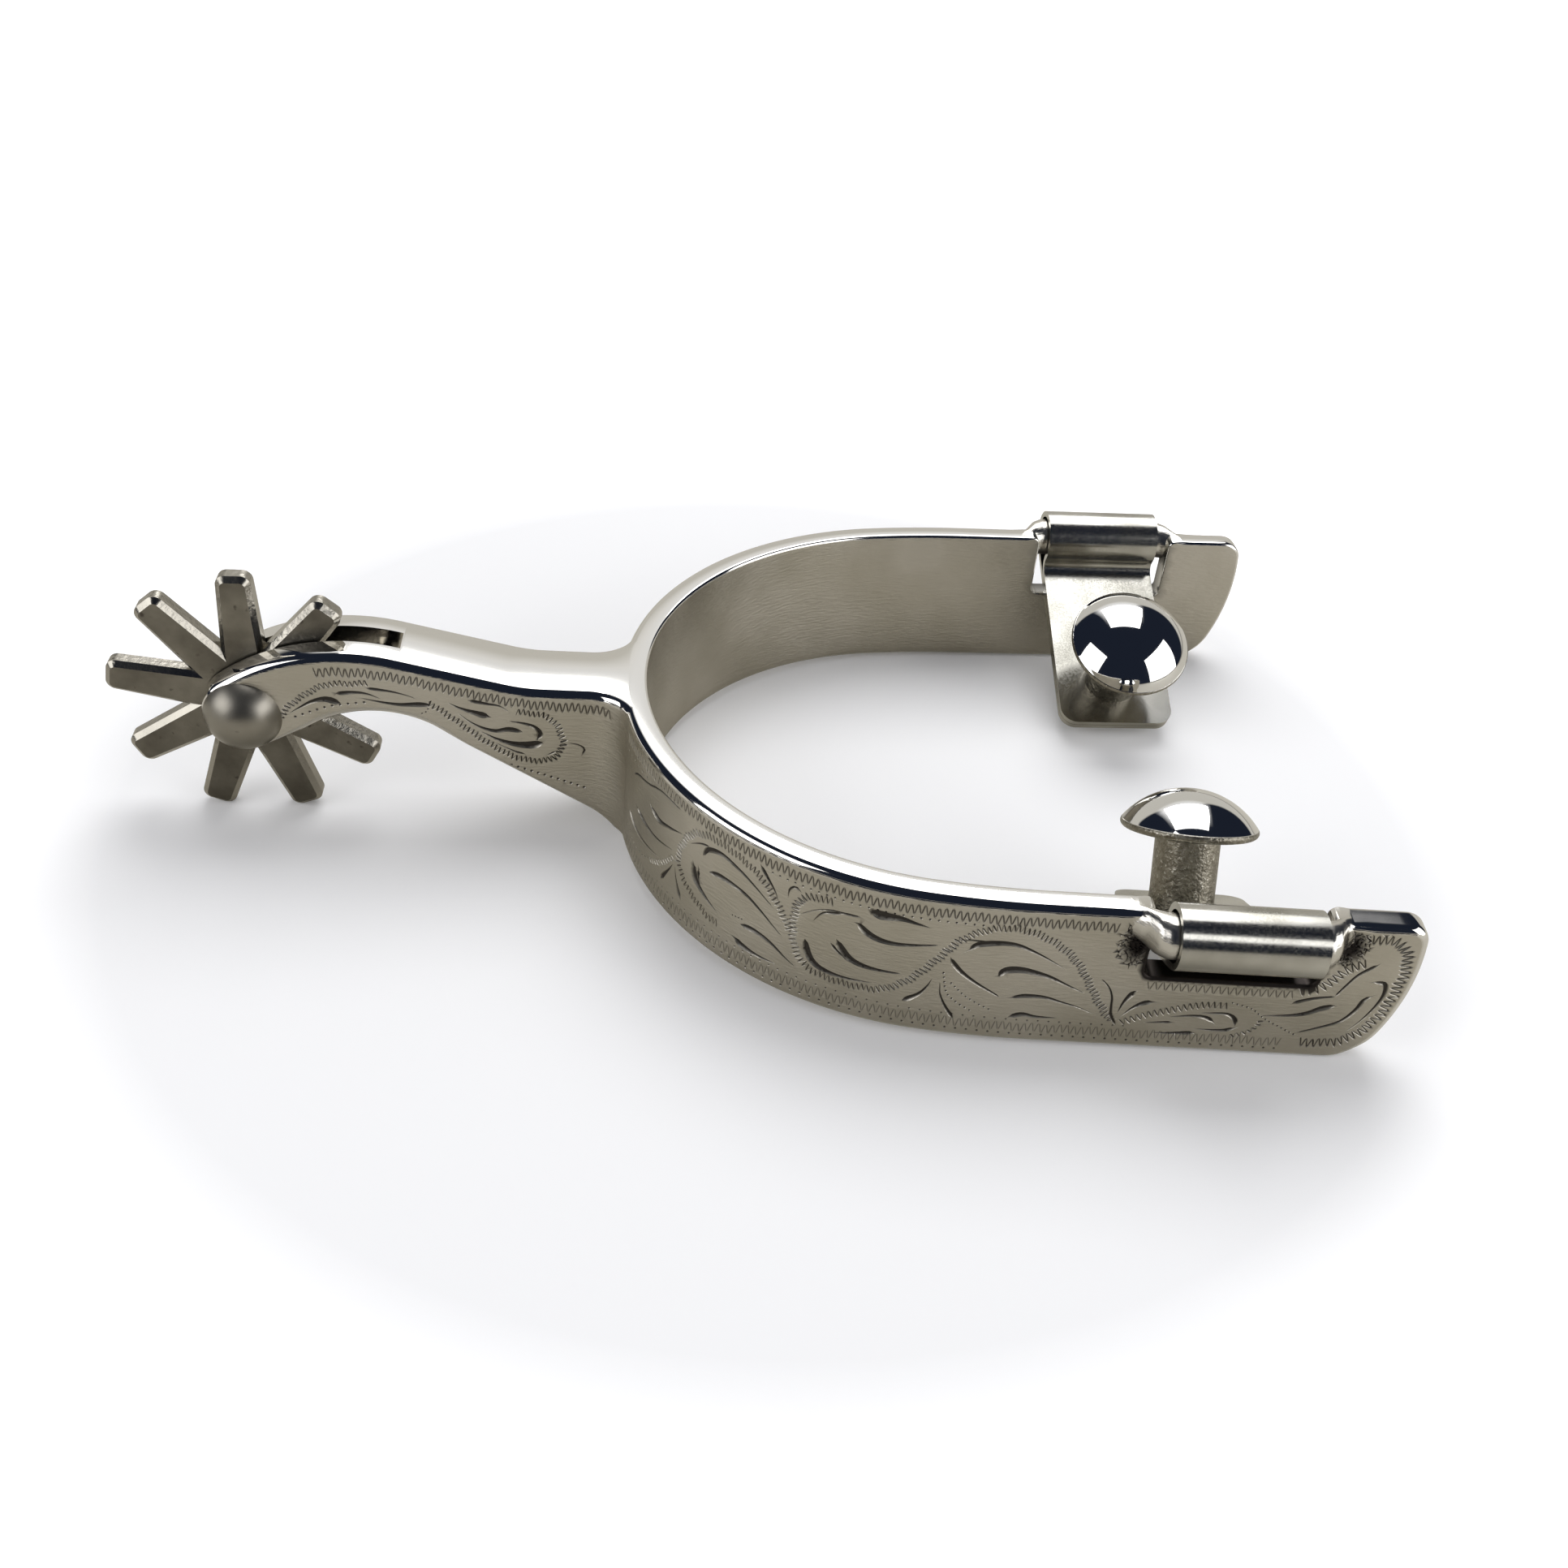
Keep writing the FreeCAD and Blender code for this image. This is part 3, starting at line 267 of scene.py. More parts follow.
def engrave_band():
    """Borders, scroll and leaves of one half of the band's outer wall: (along, height) in mm."""
    e = Engraving()
    # borders along the upper and lower edges
    e.wriggle([(9.5, 16.7), (14, 16.9), (20, 17.3), (32, 17.3), (46, 16.95), (62, 16.95), (75, 16.9)],
              0.72, 0.92, 0.17, 0.065, 0.12)
    e.wriggle([(9.5, 2), (30, 2.1), (78, 2), (95.5, 1.9)], 0.78, 0.9, 0.15, 0.045, 0.12)
    e.dots([(10, 1.05), (40, 1.1), (95, 0.95)], 1.15, 0.3, 0.08)
    e.dots([(20, 3.2), (78, 3.05)], 1.15, 0.26, 0.07)
    e.dots([(10, 14.9), (14, 15.4), (19, 15.9)], 1.2, 0.3, 0.09)
    e.dots([(38, 16), (50, 15.85), (61, 15.95)], 0.9, 0.26, 0.1)
    # first lobe, next to the shank
    e.stroke([(18, 12.4), (20, 12), (22, 12.5), (24.8, 13.4)], 0.75)
    e.stroke([(14, 9.4), (17, 9), (19.5, 9.1), (23, 9.9)], 0.6)
    e.stroke([(11.2, 6.8), (13.5, 6.1), (16, 6.1), (20, 6.8)], 0.7)
    e.stroke([(12.4, 13.3), (14, 14.2), (17, 15.1), (19, 15.9), (21, 16.4), (24.2, 16.4)], 0.3, 0.2)
    e.dots([(10.5, 4.5), (12.7, 3.7), (15.5, 3.8), (17.5, 4.8)], 0.9)
    e.wriggle([(18, 4.9), (20, 6), (21.7, 7.4), (23.2, 9.1)], 0.62, 0.5)
    e.stroke([(20.8, 4.3), (21.6, 5.5), (22.5, 6.8), (23.2, 8)], 0.55)
    e.stroke([(24.9, 4.3), (24.2, 5.6), (23.8, 6.8), (23.6, 8.1)], 0.5)
    # second lobe
    e.wriggle([(31.2, 4.7), (29.5, 4.9), (27.5, 5.8), (26, 6.7), (24.8, 7.9), (24.2, 9.5), (24.5, 11.2),
               (25.3, 13), (26.6, 14.7), (28.6, 15.8), (31, 16.1), (34, 15.7), (36.5, 14.7),
               (38.2, 13), (39.6, 11.2), (40.6, 9.3)], 0.54, 0.68, 0.17, 0.08, 0.15)
    e.stroke([(28.4, 12.9), (29.2, 14.1), (31.3, 14.7), (34, 14), (36, 13), (38.3, 11.5)], 0.62)
    e.stroke([(29.2, 14.6), (27.8, 14.1), (26.1, 13)], 0.25)
    e.stroke([(29.6, 11.2), (31, 11.6), (33, 11.6), (35, 11.2), (37, 10.1), (39.8, 8)], 0.6)
    e.stroke([(27, 10.4), (27.1, 9.2), (27.9, 8.2), (29.4, 7.2), (31, 6.4)], 1)
    e.stroke([(27.8, 10.4), (27.8, 9.3), (28.2, 8.4)], 0.5)
    e.stroke([(34.6, 6.8), (36.5, 6.9), (38.5, 6.4), (40.5, 5.2), (41.7, 4.6)], 0.62)
    e.dots([(33.3, 7.4), (34.6, 7.6)], 0.4)
    e.stroke([(33.9, 4.4), (34.9, 3.9), (37, 3.65), (39.4, 3.75)], 0.75)
    e.stroke([(36.5, 16.2), (37.5, 15), (38.5, 13.7), (39, 12.6)], 0.42)
    e.stroke([(41.4, 15.2), (40.8, 15.4), (40.2, 14.8), (40.1, 13.6)], 0.35)
    # third lobe
    e.wriggle([(45.2, 15.2), (43.2, 15.1), (41.7, 14.2), (41.1, 12.4), (41, 10.2), (41.2, 8.2),
               (41.9, 6.4), (43.2, 5.1), (45.5, 4.6), (48.5, 4.6), (51, 4.9), (52.8, 5.9), (54.3, 7.2),
               (55.6, 8.8), (56.8, 10.5), (57.8, 12)], 0.54, 0.68, 0.17, 0.08, 0.15)
    e.stroke([(48.3, 14.3), (46.5, 14.2), (45, 14.05), (43.4, 13.4), (41.8, 12.2)], 0.28)
    e.stroke([(46.2, 14), (44.3, 13.4), (43.2, 11.8)], 0.36)
    e.stroke([(49.4, 15.4), (50.8, 15.25), (52.6, 15.35), (54, 15.1), (55.7, 14.75)], 1.05)
    e.stroke([(48.1, 13.4), (49.3, 12.4), (50.8, 11.85), (52.5, 11.8), (54.5, 12.1),
              (56.8, 12.55)], 0.75, 0.2)
    e.stroke([(46.2, 10.2), (46.8, 9.2), (47.9, 8.2), (49.5, 7.75), (51.5, 7.7), (53.4, 7.8)], 0.85, 0.2)
    e.stroke([(45.5, 9.6), (46.3, 8.8), (47.6, 7.8)], 0.35)
    e.stroke([(42.6, 8.8), (43, 7.2), (44, 6), (45.5, 5.5), (47.5, 5.4), (50.5, 5.7)], 0.85)
    e.stroke([(54, 4.1), (55.5, 5.3), (56.3, 6.6), (56.7, 7.8)], 0.6)
    e.stroke([(59.6, 2.5), (58.5, 4.2), (57.8, 5.8), (57.6, 7.4)], 0.42)
    # fourth lobe
    e.wriggle([(57.8, 12), (58.7, 13.3), (60.2, 14.6), (61.8, 15.5), (63.8, 15.9), (65.8, 15.7),
               (67.6, 15), (69.5, 13.8), (71, 12.4), (72.2, 10.8), (73.2, 9), (74.2, 7.2),
               (75.3, 5.4), (76.6, 3.7)], 0.52, 0.66, 0.17, 0.09, 0.15)
    e.dots([(58.8, 7.5), (60.2, 6.1), (61.5, 5.2), (63.2, 4.3)], 0.55)
    e.dots([(57.8, 8.8), (58.4, 6.2), (59.6, 4.9), (61.2, 3.9)], 0.6)
    e.stroke([(60.1, 12.5), (60.7, 13.2), (62, 13.6), (63.6, 13.8), (65.2, 13.6), (67, 12.8), (68.6, 11.9),
              (70.2, 10.9)], 0.7)
    e.stroke([(62, 13.75), (60.3, 13.8), (58.5, 13.6)], 0.25)
    e.stroke([(63.6, 9.2), (64.1, 10), (65.4, 10.3), (67, 10.1), (69, 9.5), (71, 8.5), (73, 7.5)], 0.85)
    e.stroke([(65.4, 6.3), (66.8, 6.65), (68.8, 6.6), (70.8, 6), (72.7, 5.4), (74.3, 4.6)], 0.5)
    e.stroke([(58.3, 10.9), (59, 9.9), (60, 8.9), (61.5, 7.8), (63, 6.9), (64.1, 6.2)], 0.55, 0.25)
    e.stroke([(65.6, 3.5), (66.9, 3.95), (68.3, 3.7), (70.7, 3.7)], 0.6)
    # fan between the scroll and the window
    e.stroke([(77.1, 3.2), (76.4, 4.5), (76.2, 5.6), (76, 7.2), (75.4, 8.6), (74.4, 9.7)], 0.34, 0.2)
    e.stroke([(78.3, 8.2), (77.7, 7.2), (77.3, 6.2), (77, 4.8)], 0.6)
    e.stroke([(80.4, 6.8), (79.4, 6.5), (78.4, 5.7), (77.5, 4.5)], 0.6)
    # small lobe under the window
    e.wriggle([(77.6, 3.5), (79, 4.3), (80.5, 5), (82.5, 5.7), (84.5, 6.4), (86.5, 6.8), (88.6, 6.8)],
              0.62, 0.69, 0.18, 0.09)
    e.dots([(89, 7.3), (91.2, 6.6), (92.6, 5.5), (94.2, 4.5), (96.6, 3.2)], 0.55)
    e.wriggle([(92.6, 5), (92.3, 4), (91.4, 3.1), (89.6, 2.3)], 0.6, 0.4)
    e.stroke([(83.1, 4), (81.6, 3.9), (80.2, 3.75)], 0.3)
    e.stroke([(87.5, 4.4), (86.6, 4.95), (85, 5.1), (82.7, 4.8)], 0.5)
    e.stroke([(90, 4.1), (89.7, 5), (88.6, 5.65), (85.9, 5.6)], 0.55)
    e.stroke([(85.7, 2.6), (83.5, 2.4), (81.2, 2.3)], 0.5)
    e.stroke([(90, 3.6), (88.6, 3.2), (85.7, 3.2)], 0.45)
    # border under and beyond the window
    e.wriggle([(79.3, 9.15), (88, 9), (95.2, 9)], 0.85, 0.8, 0.16, 0.06)
    e.wriggle([(95.7, 9.4), (97.6, 10), (98.9, 11.5), (99.9, 12.9), (101.7, 14)], 0.7, 0.9, 0.17, 0.08)
    e.stroke([(102.9, 13.8), (101.3, 12.3), (100.3, 10.5), (99.6, 9.05)], 0.4, 0.3)
    e.stroke([(95.4, 7.8), (97.4, 8.6), (99.6, 9.05)], 0.42, 0.26)
    # leaf on the nose
    e.stroke([(99.9, 7.7), (98.6, 7.2), (97.2, 6.4), (95.4, 5.95), (92.4, 5.7)], 0.66)
    e.stroke([(103.4, 9.3), (102.8, 8.7), (102.3, 7.2), (101.1, 5.5), (99, 4.4), (96.9, 3.5)], 0.5, 0.2)
    e.stroke([(103.2, 11.4), (104.4, 11.2), (104.7, 9.8), (104.3, 8), (103.3, 5.8), (102.2, 4.1)], 0.5)
    # border round the nose
    e.wriggle([(101.3, 17.3), (103.7, 17.2), (105.2, 16.2), (106, 13.8), (105.9, 11), (105.5, 8.2),
               (104.6, 5.6), (103, 3.4), (100.6, 2.2), (97.5, 2.1)], 0.68, 0.9, 0.17, 0.08, 0.12)
    return e


def engrave_cheek():
    """Engraving of one cheek of the shank: (x, z) in mm."""
    e = Engraving()
    e.wriggle([(-74.5, 20.4), (-70, 20.5), (-65, 20), (-60, 18.9), (-55, 17.85), (-50, 17.1),
               (-45, 16.9), (-40.4, 16.7)], 0.72, 0.9, 0.17, 0.065, 0.12)
    e.wriggle([(-61.6, 16.8), (-60, 15.6), (-58, 14), (-56, 12.3), (-54, 10.8), (-52, 9.6), (-50, 9.1),
               (-48, 9.2), (-46.7, 10.2), (-46.1, 11.8), (-46.4, 13.3), (-47.2, 14.8), (-48.6, 15.7),
               (-51.6, 16)], 0.56, 0.58, 0.17, 0.1, 0.15)
    e.stroke([(-57, 17.35), (-55, 17), (-53.5, 16.75), (-52.4, 16)], 0.42)
    e.stroke([(-54.8, 15.2), (-56.2, 15.6), (-58, 16.2), (-59.4, 16.95)], 0.75)
    e.stroke([(-51, 13.25), (-52.5, 13.5), (-54, 13.2), (-55.6, 13.6), (-57, 14.4), (-58.3, 15.5)], 0.6)
    e.stroke([(-48.6, 11.7), (-50, 11.35), (-52, 11.45), (-54, 12.1), (-55.8, 13.1)], 0.95)
    e.stroke([(-49.1, 12.3), (-48.8, 13), (-49.4, 13.9), (-50.6, 14.4), (-52.5, 14.7)], 0.6)
    e.stroke([(-46.9, 10.6), (-48.1, 9.9)], 0.3)
    e.stroke([(-50.6, 10), (-52, 10.45), (-54.1, 11.5)], 0.22)
    e.stroke([(-43.9, 10.2), (-43.6, 11), (-44.2, 11.6), (-45.5, 11.9)], 0.25)
    e.stroke([(-68.6, 18.5), (-66, 18.2), (-64, 17.7), (-63.1, 17.3)], 0.35)
    e.stroke([(-72.1, 17.6), (-70, 17.85), (-68.5, 17.7), (-67.1, 17.1)], 0.5)
    e.stroke([(-61.5, 16.5), (-63, 16.5), (-65, 16.4), (-67, 16.65), (-69.3, 17.1)], 0.6)
    e.stroke([(-71.8, 16.3), (-73.4, 16.75), (-75, 16.3), (-76.3, 15.5), (-77.6, 14.6)], 0.75)
    e.wriggle([(-78.8, 13.9), (-77.6, 15.6), (-76, 17), (-74.3, 18.2), (-72.6, 18.9), (-70.6, 19),
               (-68.5, 19.2)], 0.56, 0.55, 0.17, 0.1, 0.15)
    e.dots([(-77, 14.1), (-75, 15), (-72.5, 15.9), (-69, 16.5)], 0.9)
    e.dots([(-62.9, 15.1), (-61.9, 15.6), (-61.5, 16.9)], 0.45)
    e.dots([(-53, 8.6), (-50, 7.6), (-47, 6.6), (-43.6, 5.4)], 0.8)
    return e


# ---- meshes


def new_object(name, points, faces):
    """A mesh object from points in mm."""
    mesh = bpy.data.meshes.new(name)
    mesh.from_pydata([tuple(p) for p in np.asarray(points) * MM], [], faces)
    mesh.validate()
    mesh.update()
    item = bpy.data.objects.new(name, mesh)
    bpy.context.scene.collection.objects.link(item)
    return item


def weld(points, faces, values, gap=0.004):
    """Joins points that coincide. Values go with the points."""
    key = np.round(points / gap).astype(np.int64)
    _, first, back = np.unique(key, axis=0, return_index=True, return_inverse=True)
    back = back.reshape(-1)
    kept = []
    for face in faces:
        ring = [int(back[i]) for i in face]
        ring = [v for i, v in enumerate(ring) if v != ring[i - 1]]
        if len(set(ring)) >= 3:
            kept.append(ring)
    return points[first], kept, values[first]


def fill(boundary, extra, edges, spacing):
    """Triangles of a plane region, with grid points inside it and given edges kept."""
    boundary, extra = np.asarray(boundary, float), np.asarray(extra, float)
    count = len(boundary)
    low, high = boundary.min(0), boundary.max(0)
    grid = []
    for row, z in enumerate(np.arange(low[1] + spacing / 2, high[1], spacing * 0.866)):
        shift = spacing / 2 if row % 2 else 0
        grid += [(x, z) for x in np.arange(low[0] + spacing / 2 + shift, high[0], spacing)]
    grid = np.array(grid)
    grid = grid[inside(grid, boundary, spacing * 0.35)]
    within = inside(extra, boundary, 0.06) if len(extra) else []
    ring = [(i, (i + 1) % count) for i in range(count)]
    inner = [(a + count, b + count) for a, b in edges if within[a] and within[b]]
    used = sorted({i for edge in inner for i in edge})
    place = {old: new + count for new, old in enumerate(used)}
    inner = [(place[a], place[b]) for a, b in inner]
    middle = extra[[i - count for i in used]] if used else np.zeros((0, 2))
    points = [Vector(p) for p in np.vstack([boundary, middle, grid])]
    verts, _, faces, origins, *_ = delaunay_2d_cdt(points, ring + inner, [], 1, 1e-5, True)
    flat, on_rim = np.array([tuple(v) for v in verts]), np.zeros(len(verts), bool)
    for index, origin in enumerate(origins):
        rim = [o for o in origin if o < count]
        if rim:
            flat[index], on_rim[index] = boundary[rim[0]], True
    faces = np.array([list(f) for f in faces])
    return flat, faces[inside(flat[faces].mean(1), boundary, -1)].tolist(), on_rim


def inside(points, ring, margin):
    """Which points lie in a closed ring and further than a margin from it."""
    x, y = points[:, 0][:, None], points[:, 1][:, None]
    a, b = ring, np.roll(ring, -1, axis=0)
    d = b - a
    rel_x, rel_y = x - a[:, 0], y - a[:, 1]
    rise = np.where(d[:, 1] == 0, 1e-9, d[:, 1])
    crosses = ((a[:, 1] > y) != (b[:, 1] > y)) & (x < d[:, 0] * rel_y / rise + a[:, 0])
    t = np.clip((rel_x * d[:, 0] + rel_y * d[:, 1]) / np.maximum((d * d).sum(1), 1e-9), 0, 1)
    gap = np.hypot(rel_x - t * d[:, 0], rel_y - t * d[:, 1]).min(1)
    return (crosses.sum(1) % 2 == 1) & (gap > margin)


def inward(outline, first, last):
    """Mitred inward directions of an outline that runs anticlockwise; its ends have given ones."""
    d = np.diff(outline, axis=0)
    d /= np.linalg.norm(d, axis=1)[:, None]
    n = np.stack([-d[:, 1], d[:, 0]], 1)
    both = n[:-1] + n[1:]
    middle = both / (1 + (n[:-1] * n[1:]).sum(1))[:, None]
    return np.vstack([first, middle, last])


def rounded_rows(outline, direction, outer, inner, steps=5):
    """Rows of (plane points, depth, is it outer) round the rim of a plate: outer corner, then inner."""
    rows = []
    for radius, is_outer in ((outer, True), (inner, False)):
        for j in range(steps + 1):
            turn = math.pi / 2 * (j / steps if is_outer else 1 - j / steps)
            rows.append((outline + direction * (radius * (1 - math.sin(turn)))[:, None],
                         radius * (1 - math.cos(turn)), is_outer))
    return rows


def closing_cut(row):
    """Points from a row's end back to its start, without these two."""
    return np.array(straight(tuple(row[-1]), tuple(row[0]), 1.0)[1:-1])


def stitch(rows, count, closed):
    """Quads between neighbouring rows of the same length."""
    faces = []
    last = count if closed else count - 1
    for r in range(rows - 1):
        for k in range(last):
            m = (k + 1) % count
            faces.append([r * count + k, r * count + m, (r + 1) * count + m, (r + 1) * count + k])
    return faces


POLISH, DARK = 0, 1  # columns of the values that go with each point
TIP_CORNERS = (6.0, 2.5)  # radii of the lower and the upper corner of an arm's end
WINDOW_CORNER = 1.0
BAND_GRID = 0.85  # spacing of the points inside the engraved wall,
PLAIN_GRID = 1.4  # inside the plain one
CHEEK_GRID = 0.8  # and inside the shank's cheeks
RIM_SHADE = 0.9  # painted shade: how dark the left window's outer rim is painted,
INNER_SHADE = 0.25  # and its inner rim


def band_outline():
    """Side view of the left half of the band, unrolled, anticlockwise from the heel's lower edge."""
    tip = (TIP - NOSE, NOSE_Z)
    low, high = TIP_CORNERS
    low_x = tip[0] + math.sqrt((NOSE - low) ** 2 - (tip[1] - low) ** 2)
    high_x = tip[0] + math.sqrt((NOSE - high) ** 2 - (HEIGHT - high - tip[1]) ** 2)
    low_turn = math.degrees(math.atan2(low - tip[1], low_x - tip[0]))
    high_turn = math.degrees(math.atan2(HEIGHT - high - tip[1], high_x - tip[0]))
    front, rear, r = WINDOW_FRONT, WINDOW_REAR, WINDOW_CORNER
    return tidy_loop(
        straight((0, 0), (low_x, 0)) + arc_points((low_x, low), low, -90, low_turn)
        + arc_points(tip, NOSE, low_turn, high_turn)
        + arc_points((high_x, HEIGHT - high), high, high_turn, 90, 0.35)
        + straight((high_x, HEIGHT), (front + r, HEIGHT))
        + arc_points((front + r, HEIGHT - r), r, 90, 180, 0.25)
        + straight((front, HEIGHT - r), (front, SILL + r))
        + arc_points((front - r, SILL + r), r, 0, -90, 0.25)
        + straight((front - r, SILL), (rear + r, SILL))
        + arc_points((rear + r, SILL + r), r, 270, 180, 0.25)
        + straight((rear, SILL + r), (rear, HEIGHT - r))
        + arc_points((rear - r, HEIGHT - r), r, 0, 90, 0.25)
        + straight((rear - r, HEIGHT), (0, HEIGHT))
    )


def make_band():
    """The whole band as one closed mesh: points, faces and values."""
    outline = band_outline()
    count = len(outline)
    direction = inward(outline, (0, 1), (0, -1))
    x, z = outline.T
    above_sill = z > SILL - 0.1
    near_window = (x > WINDOW_REAR - 1.2) & (x < WINDOW_FRONT + 1.2) & above_sill
    outer = np.where(near_window, 0.35, np.where(z > 0.5, 0.95, 0.5))
    outer = np.convolve(np.pad(outer, 2, mode="edge"), np.ones(5) / 5, "valid")
    inner = np.where(near_window, 0.2, 0.4)
    rows = rounded_rows(outline, direction, outer, inner)
    # painted shade: the rims inside the window, under the hinge bar, are painted dark
    on_window = (x > WINDOW_REAR - 0.3) & (x < WINDOW_FRONT + 0.3) & (z < HEIGHT - 0.6) & above_sill
    shade = np.where(on_window, 1.0, 0.0)
    points, values = [], []
    for index, (row, depth, is_outer) in enumerate(rows):
        out = WALL - depth if is_outer else depth
        px, py = band_point(row[:, 0], out)
        points.append(np.stack([px, py, row[:, 1]], 1))
        polish = 0.0 if index in (0, len(rows) - 1) else 1.0
        values.append(np.stack([np.full(count, polish), shade * (RIM_SHADE if is_outer else INNER_SHADE)], 1))
    faces = stitch(len(rows), count, False)
    rim_total = total = len(rows) * count

    e = engrave_band()
    scoops(e)
    for is_outer, row in ((True, rows[0][0]), (False, rows[-1][0])):
        ring = np.vstack([row, closing_cut(row)])
        if is_outer:
            flat, tris, on_rim = fill(ring, e.points, e.edges, BAND_GRID)
            deep = np.where(on_rim, 0, e.depth_at(flat))
            px, py = band_point(flat[:, 0], WALL - deep)
            dark = np.maximum(grime(deep), window_darkening(flat))
        else:
            flat, tris, _ = fill(ring, [], [], PLAIN_GRID)
            px, py = band_point(flat[:, 0], 0)
            dark = np.zeros(len(flat))
            tris = [t[::-1] for t in tris]
        points.append(np.stack([px, py, flat[:, 1]], 1))
        values.append(np.stack([np.zeros(len(flat)), dark], 1))
        faces += [[i + total for i in t] for t in tris]
        total += len(flat)
    points, values = np.vstack(points), np.vstack(values)
    mirrored = points * [1, -1, 1]
    faces += [[i + total for i in f[::-1]] for f in faces]
    right = values.copy()  # painted shade: the right window's rims are painted black all over
    right[:rim_total, DARK] = np.maximum(right[:rim_total, DARK], np.tile(shade, len(rows)))
    return weld(np.vstack([points, mirrored]), faces, np.vstack([values, right]))


# Middle, half sizes and number of pits of the two rough hollows at the roots of the hinge bar.
HOLLOWS = (((77.1, 14.8), (1.8, 3.0), 170), ((99.5, 16.0), (1.9, 2.7), 150))
FAR_OFF = 9  # further than the blackening reaches


def scoops(e):
    """Pits in the rough hollows."""
    rng = np.random.default_rng(5)
    for (cx, cz), (rx, rz), number in HOLLOWS:
        for _ in range(number):
            a, r = rng.uniform(0, 2 * math.pi), math.sqrt(rng.uniform(0, 1))
            p = np.array([cx + rx * r * math.cos(a), cz + rz * r * math.sin(a)])
            if WINDOW_REAR - 0.6 < p[0] < WINDOW_FRONT + 0.6:
                continue
            lean = rng.uniform(0, math.pi)
            d = np.array([math.cos(lean), math.sin(lean)]) * rng.uniform(0.05, 0.13)
            e.nick(p - d, p + d, rng.uniform(0.1, 0.24), rng.uniform(0.06, 0.2))


def window_darkening(p):
    """Darkening of the wall in the rough hollows at the bar's roots, and along the window's sill and ends."""
    along, z = p.T
    left = np.hypot((along - (WINDOW_REAR - 1.4)) / 1.9, (z - 14.8) / 3.1)
    right = np.hypot((along - (WINDOW_FRONT + 2.3)) / 1.9, (z - 16.0) / 2.7)
    reach = np.maximum(WINDOW_REAR - along, np.maximum(along - WINDOW_FRONT, 0))
    sill = np.maximum(SILL - z, 0) / 0.6 + reach / 0.3
    sill = np.where(z > SILL + 1, FAR_OFF, sill)
    return np.clip(1.6 - 1.5 * np.minimum(np.minimum(left, right), sill), 0, 1)


BURIED = 0.08  # how far the bars' ends stay inside the wall's faces
HAIR = 0.02  # keeps meshes just inside the part's own faces


def make_bar(sign):
    """The hinge bar of one arm, swelling out of the wall at both ends."""
    start, end = BAR_SPAN
    along = np.concatenate([np.linspace(start - REAR_BLEND, start, 22), np.linspace(start, end, 12)[1:],
                            np.linspace(end, end + FRONT_BLEND, 22)[1:]])
    rest = np.clip(np.maximum((start - along) / REAR_BLEND, (along - end) / FRONT_BLEND), 0, 1)
    share = np.interp(1 - rest, [0, 0.3, 0.6, 0.85, 1], [0, 0.28, 0.78, 0.97, 1])
    share = np.where(rest > 0, share, 1)
    count = 64
    turn = np.linspace(0, 2 * math.pi, count, endpoint=False)
    low = HEIGHT - BAR_Z - BURIED
    points = []
    for a, s in zip(along, share):
        out = WALL / 2 * (1 - s) + BAR_OUT * s
        flat = (WALL / 2 - BURIED) * (1 - s) + BAR_RADIUS * s
        tall = low * (1 - s) + (BAR_RADIUS - HAIR) * s
        x = ARM_X + a * math.cos(SPLAY) - (out + flat * np.cos(turn)) * math.sin(SPLAY)
        y = ARM_Y + a * math.sin(SPLAY) + (out + flat * np.cos(turn)) * math.cos(SPLAY)
        points.append(np.stack([x, y * sign, BAR_Z + tall * np.sin(turn)], 1))
    faces = stitch(len(points), count, True)
    last = (len(points) - 1) * count
    faces.append(list(range(count)))
    faces.append(list(range(last, last + count))[::-1])
    if sign > 0:
        faces = [f[::-1] for f in faces]
    return np.vstack(points), faces


HUMP = (25.0, -70.8, 22.8)  # radius, x and height of the shank's back
ARCH = (13.3, -67.8, 14.9)  # the same of the hollow under it
SLOPE = 12.2  # degrees by which the top falls from the hump to the neck
NECK = 20.0  # radius of the hollow before the band
FOOT = (-39.9, 0.3)  # where the arch meets the band
PIN = (-83.04, 13.9)
SLOT_HALF = 1.65
SLOT_END = -65.0
HOLE_RADIUS = 1.965
SINK = 0.05  # how far the shank's flares dip into the band's wall
FLARE = 5.0
FLARE_X = -math.sqrt((CROWN + WALL + FLARE - SINK) ** 2 - (CHEEK + FLARE) ** 2)
FLARE_TURN = math.acos((CHEEK + FLARE) / (CROWN + WALL + FLARE - SINK))


def cheek_point(along, deep):
    """x and y of points of the shank's left cheek: `along` is x, then the arc of the flare."""
    turn = np.clip((along - FLARE_X) / FLARE, 0, FLARE_TURN)
    x = np.where(along < FLARE_X, along, FLARE_X + (FLARE + deep) * np.sin(turn))
    y = CHEEK + FLARE - (FLARE + deep) * np.cos(turn)
    return x, y


def along_of(x):
    """The unrolled place of an x on the cheek."""
    bent = np.arcsin(np.clip((x - FLARE_X) / FLARE, 0, math.sin(FLARE_TURN)))
    return np.where(x < FLARE_X, x, FLARE_X + FLARE * bent)


def offset(point, distance, degrees):
    """The place at a distance and a bearing from a point."""
    turn = math.radians(degrees)
    return (point[0] + distance * math.cos(turn), point[1] + distance * math.sin(turn))


def bearing(a, b):
    """Direction from one point to another, in degrees."""
    return math.degrees(math.atan2(b[1] - a[1], b[0] - a[0]))


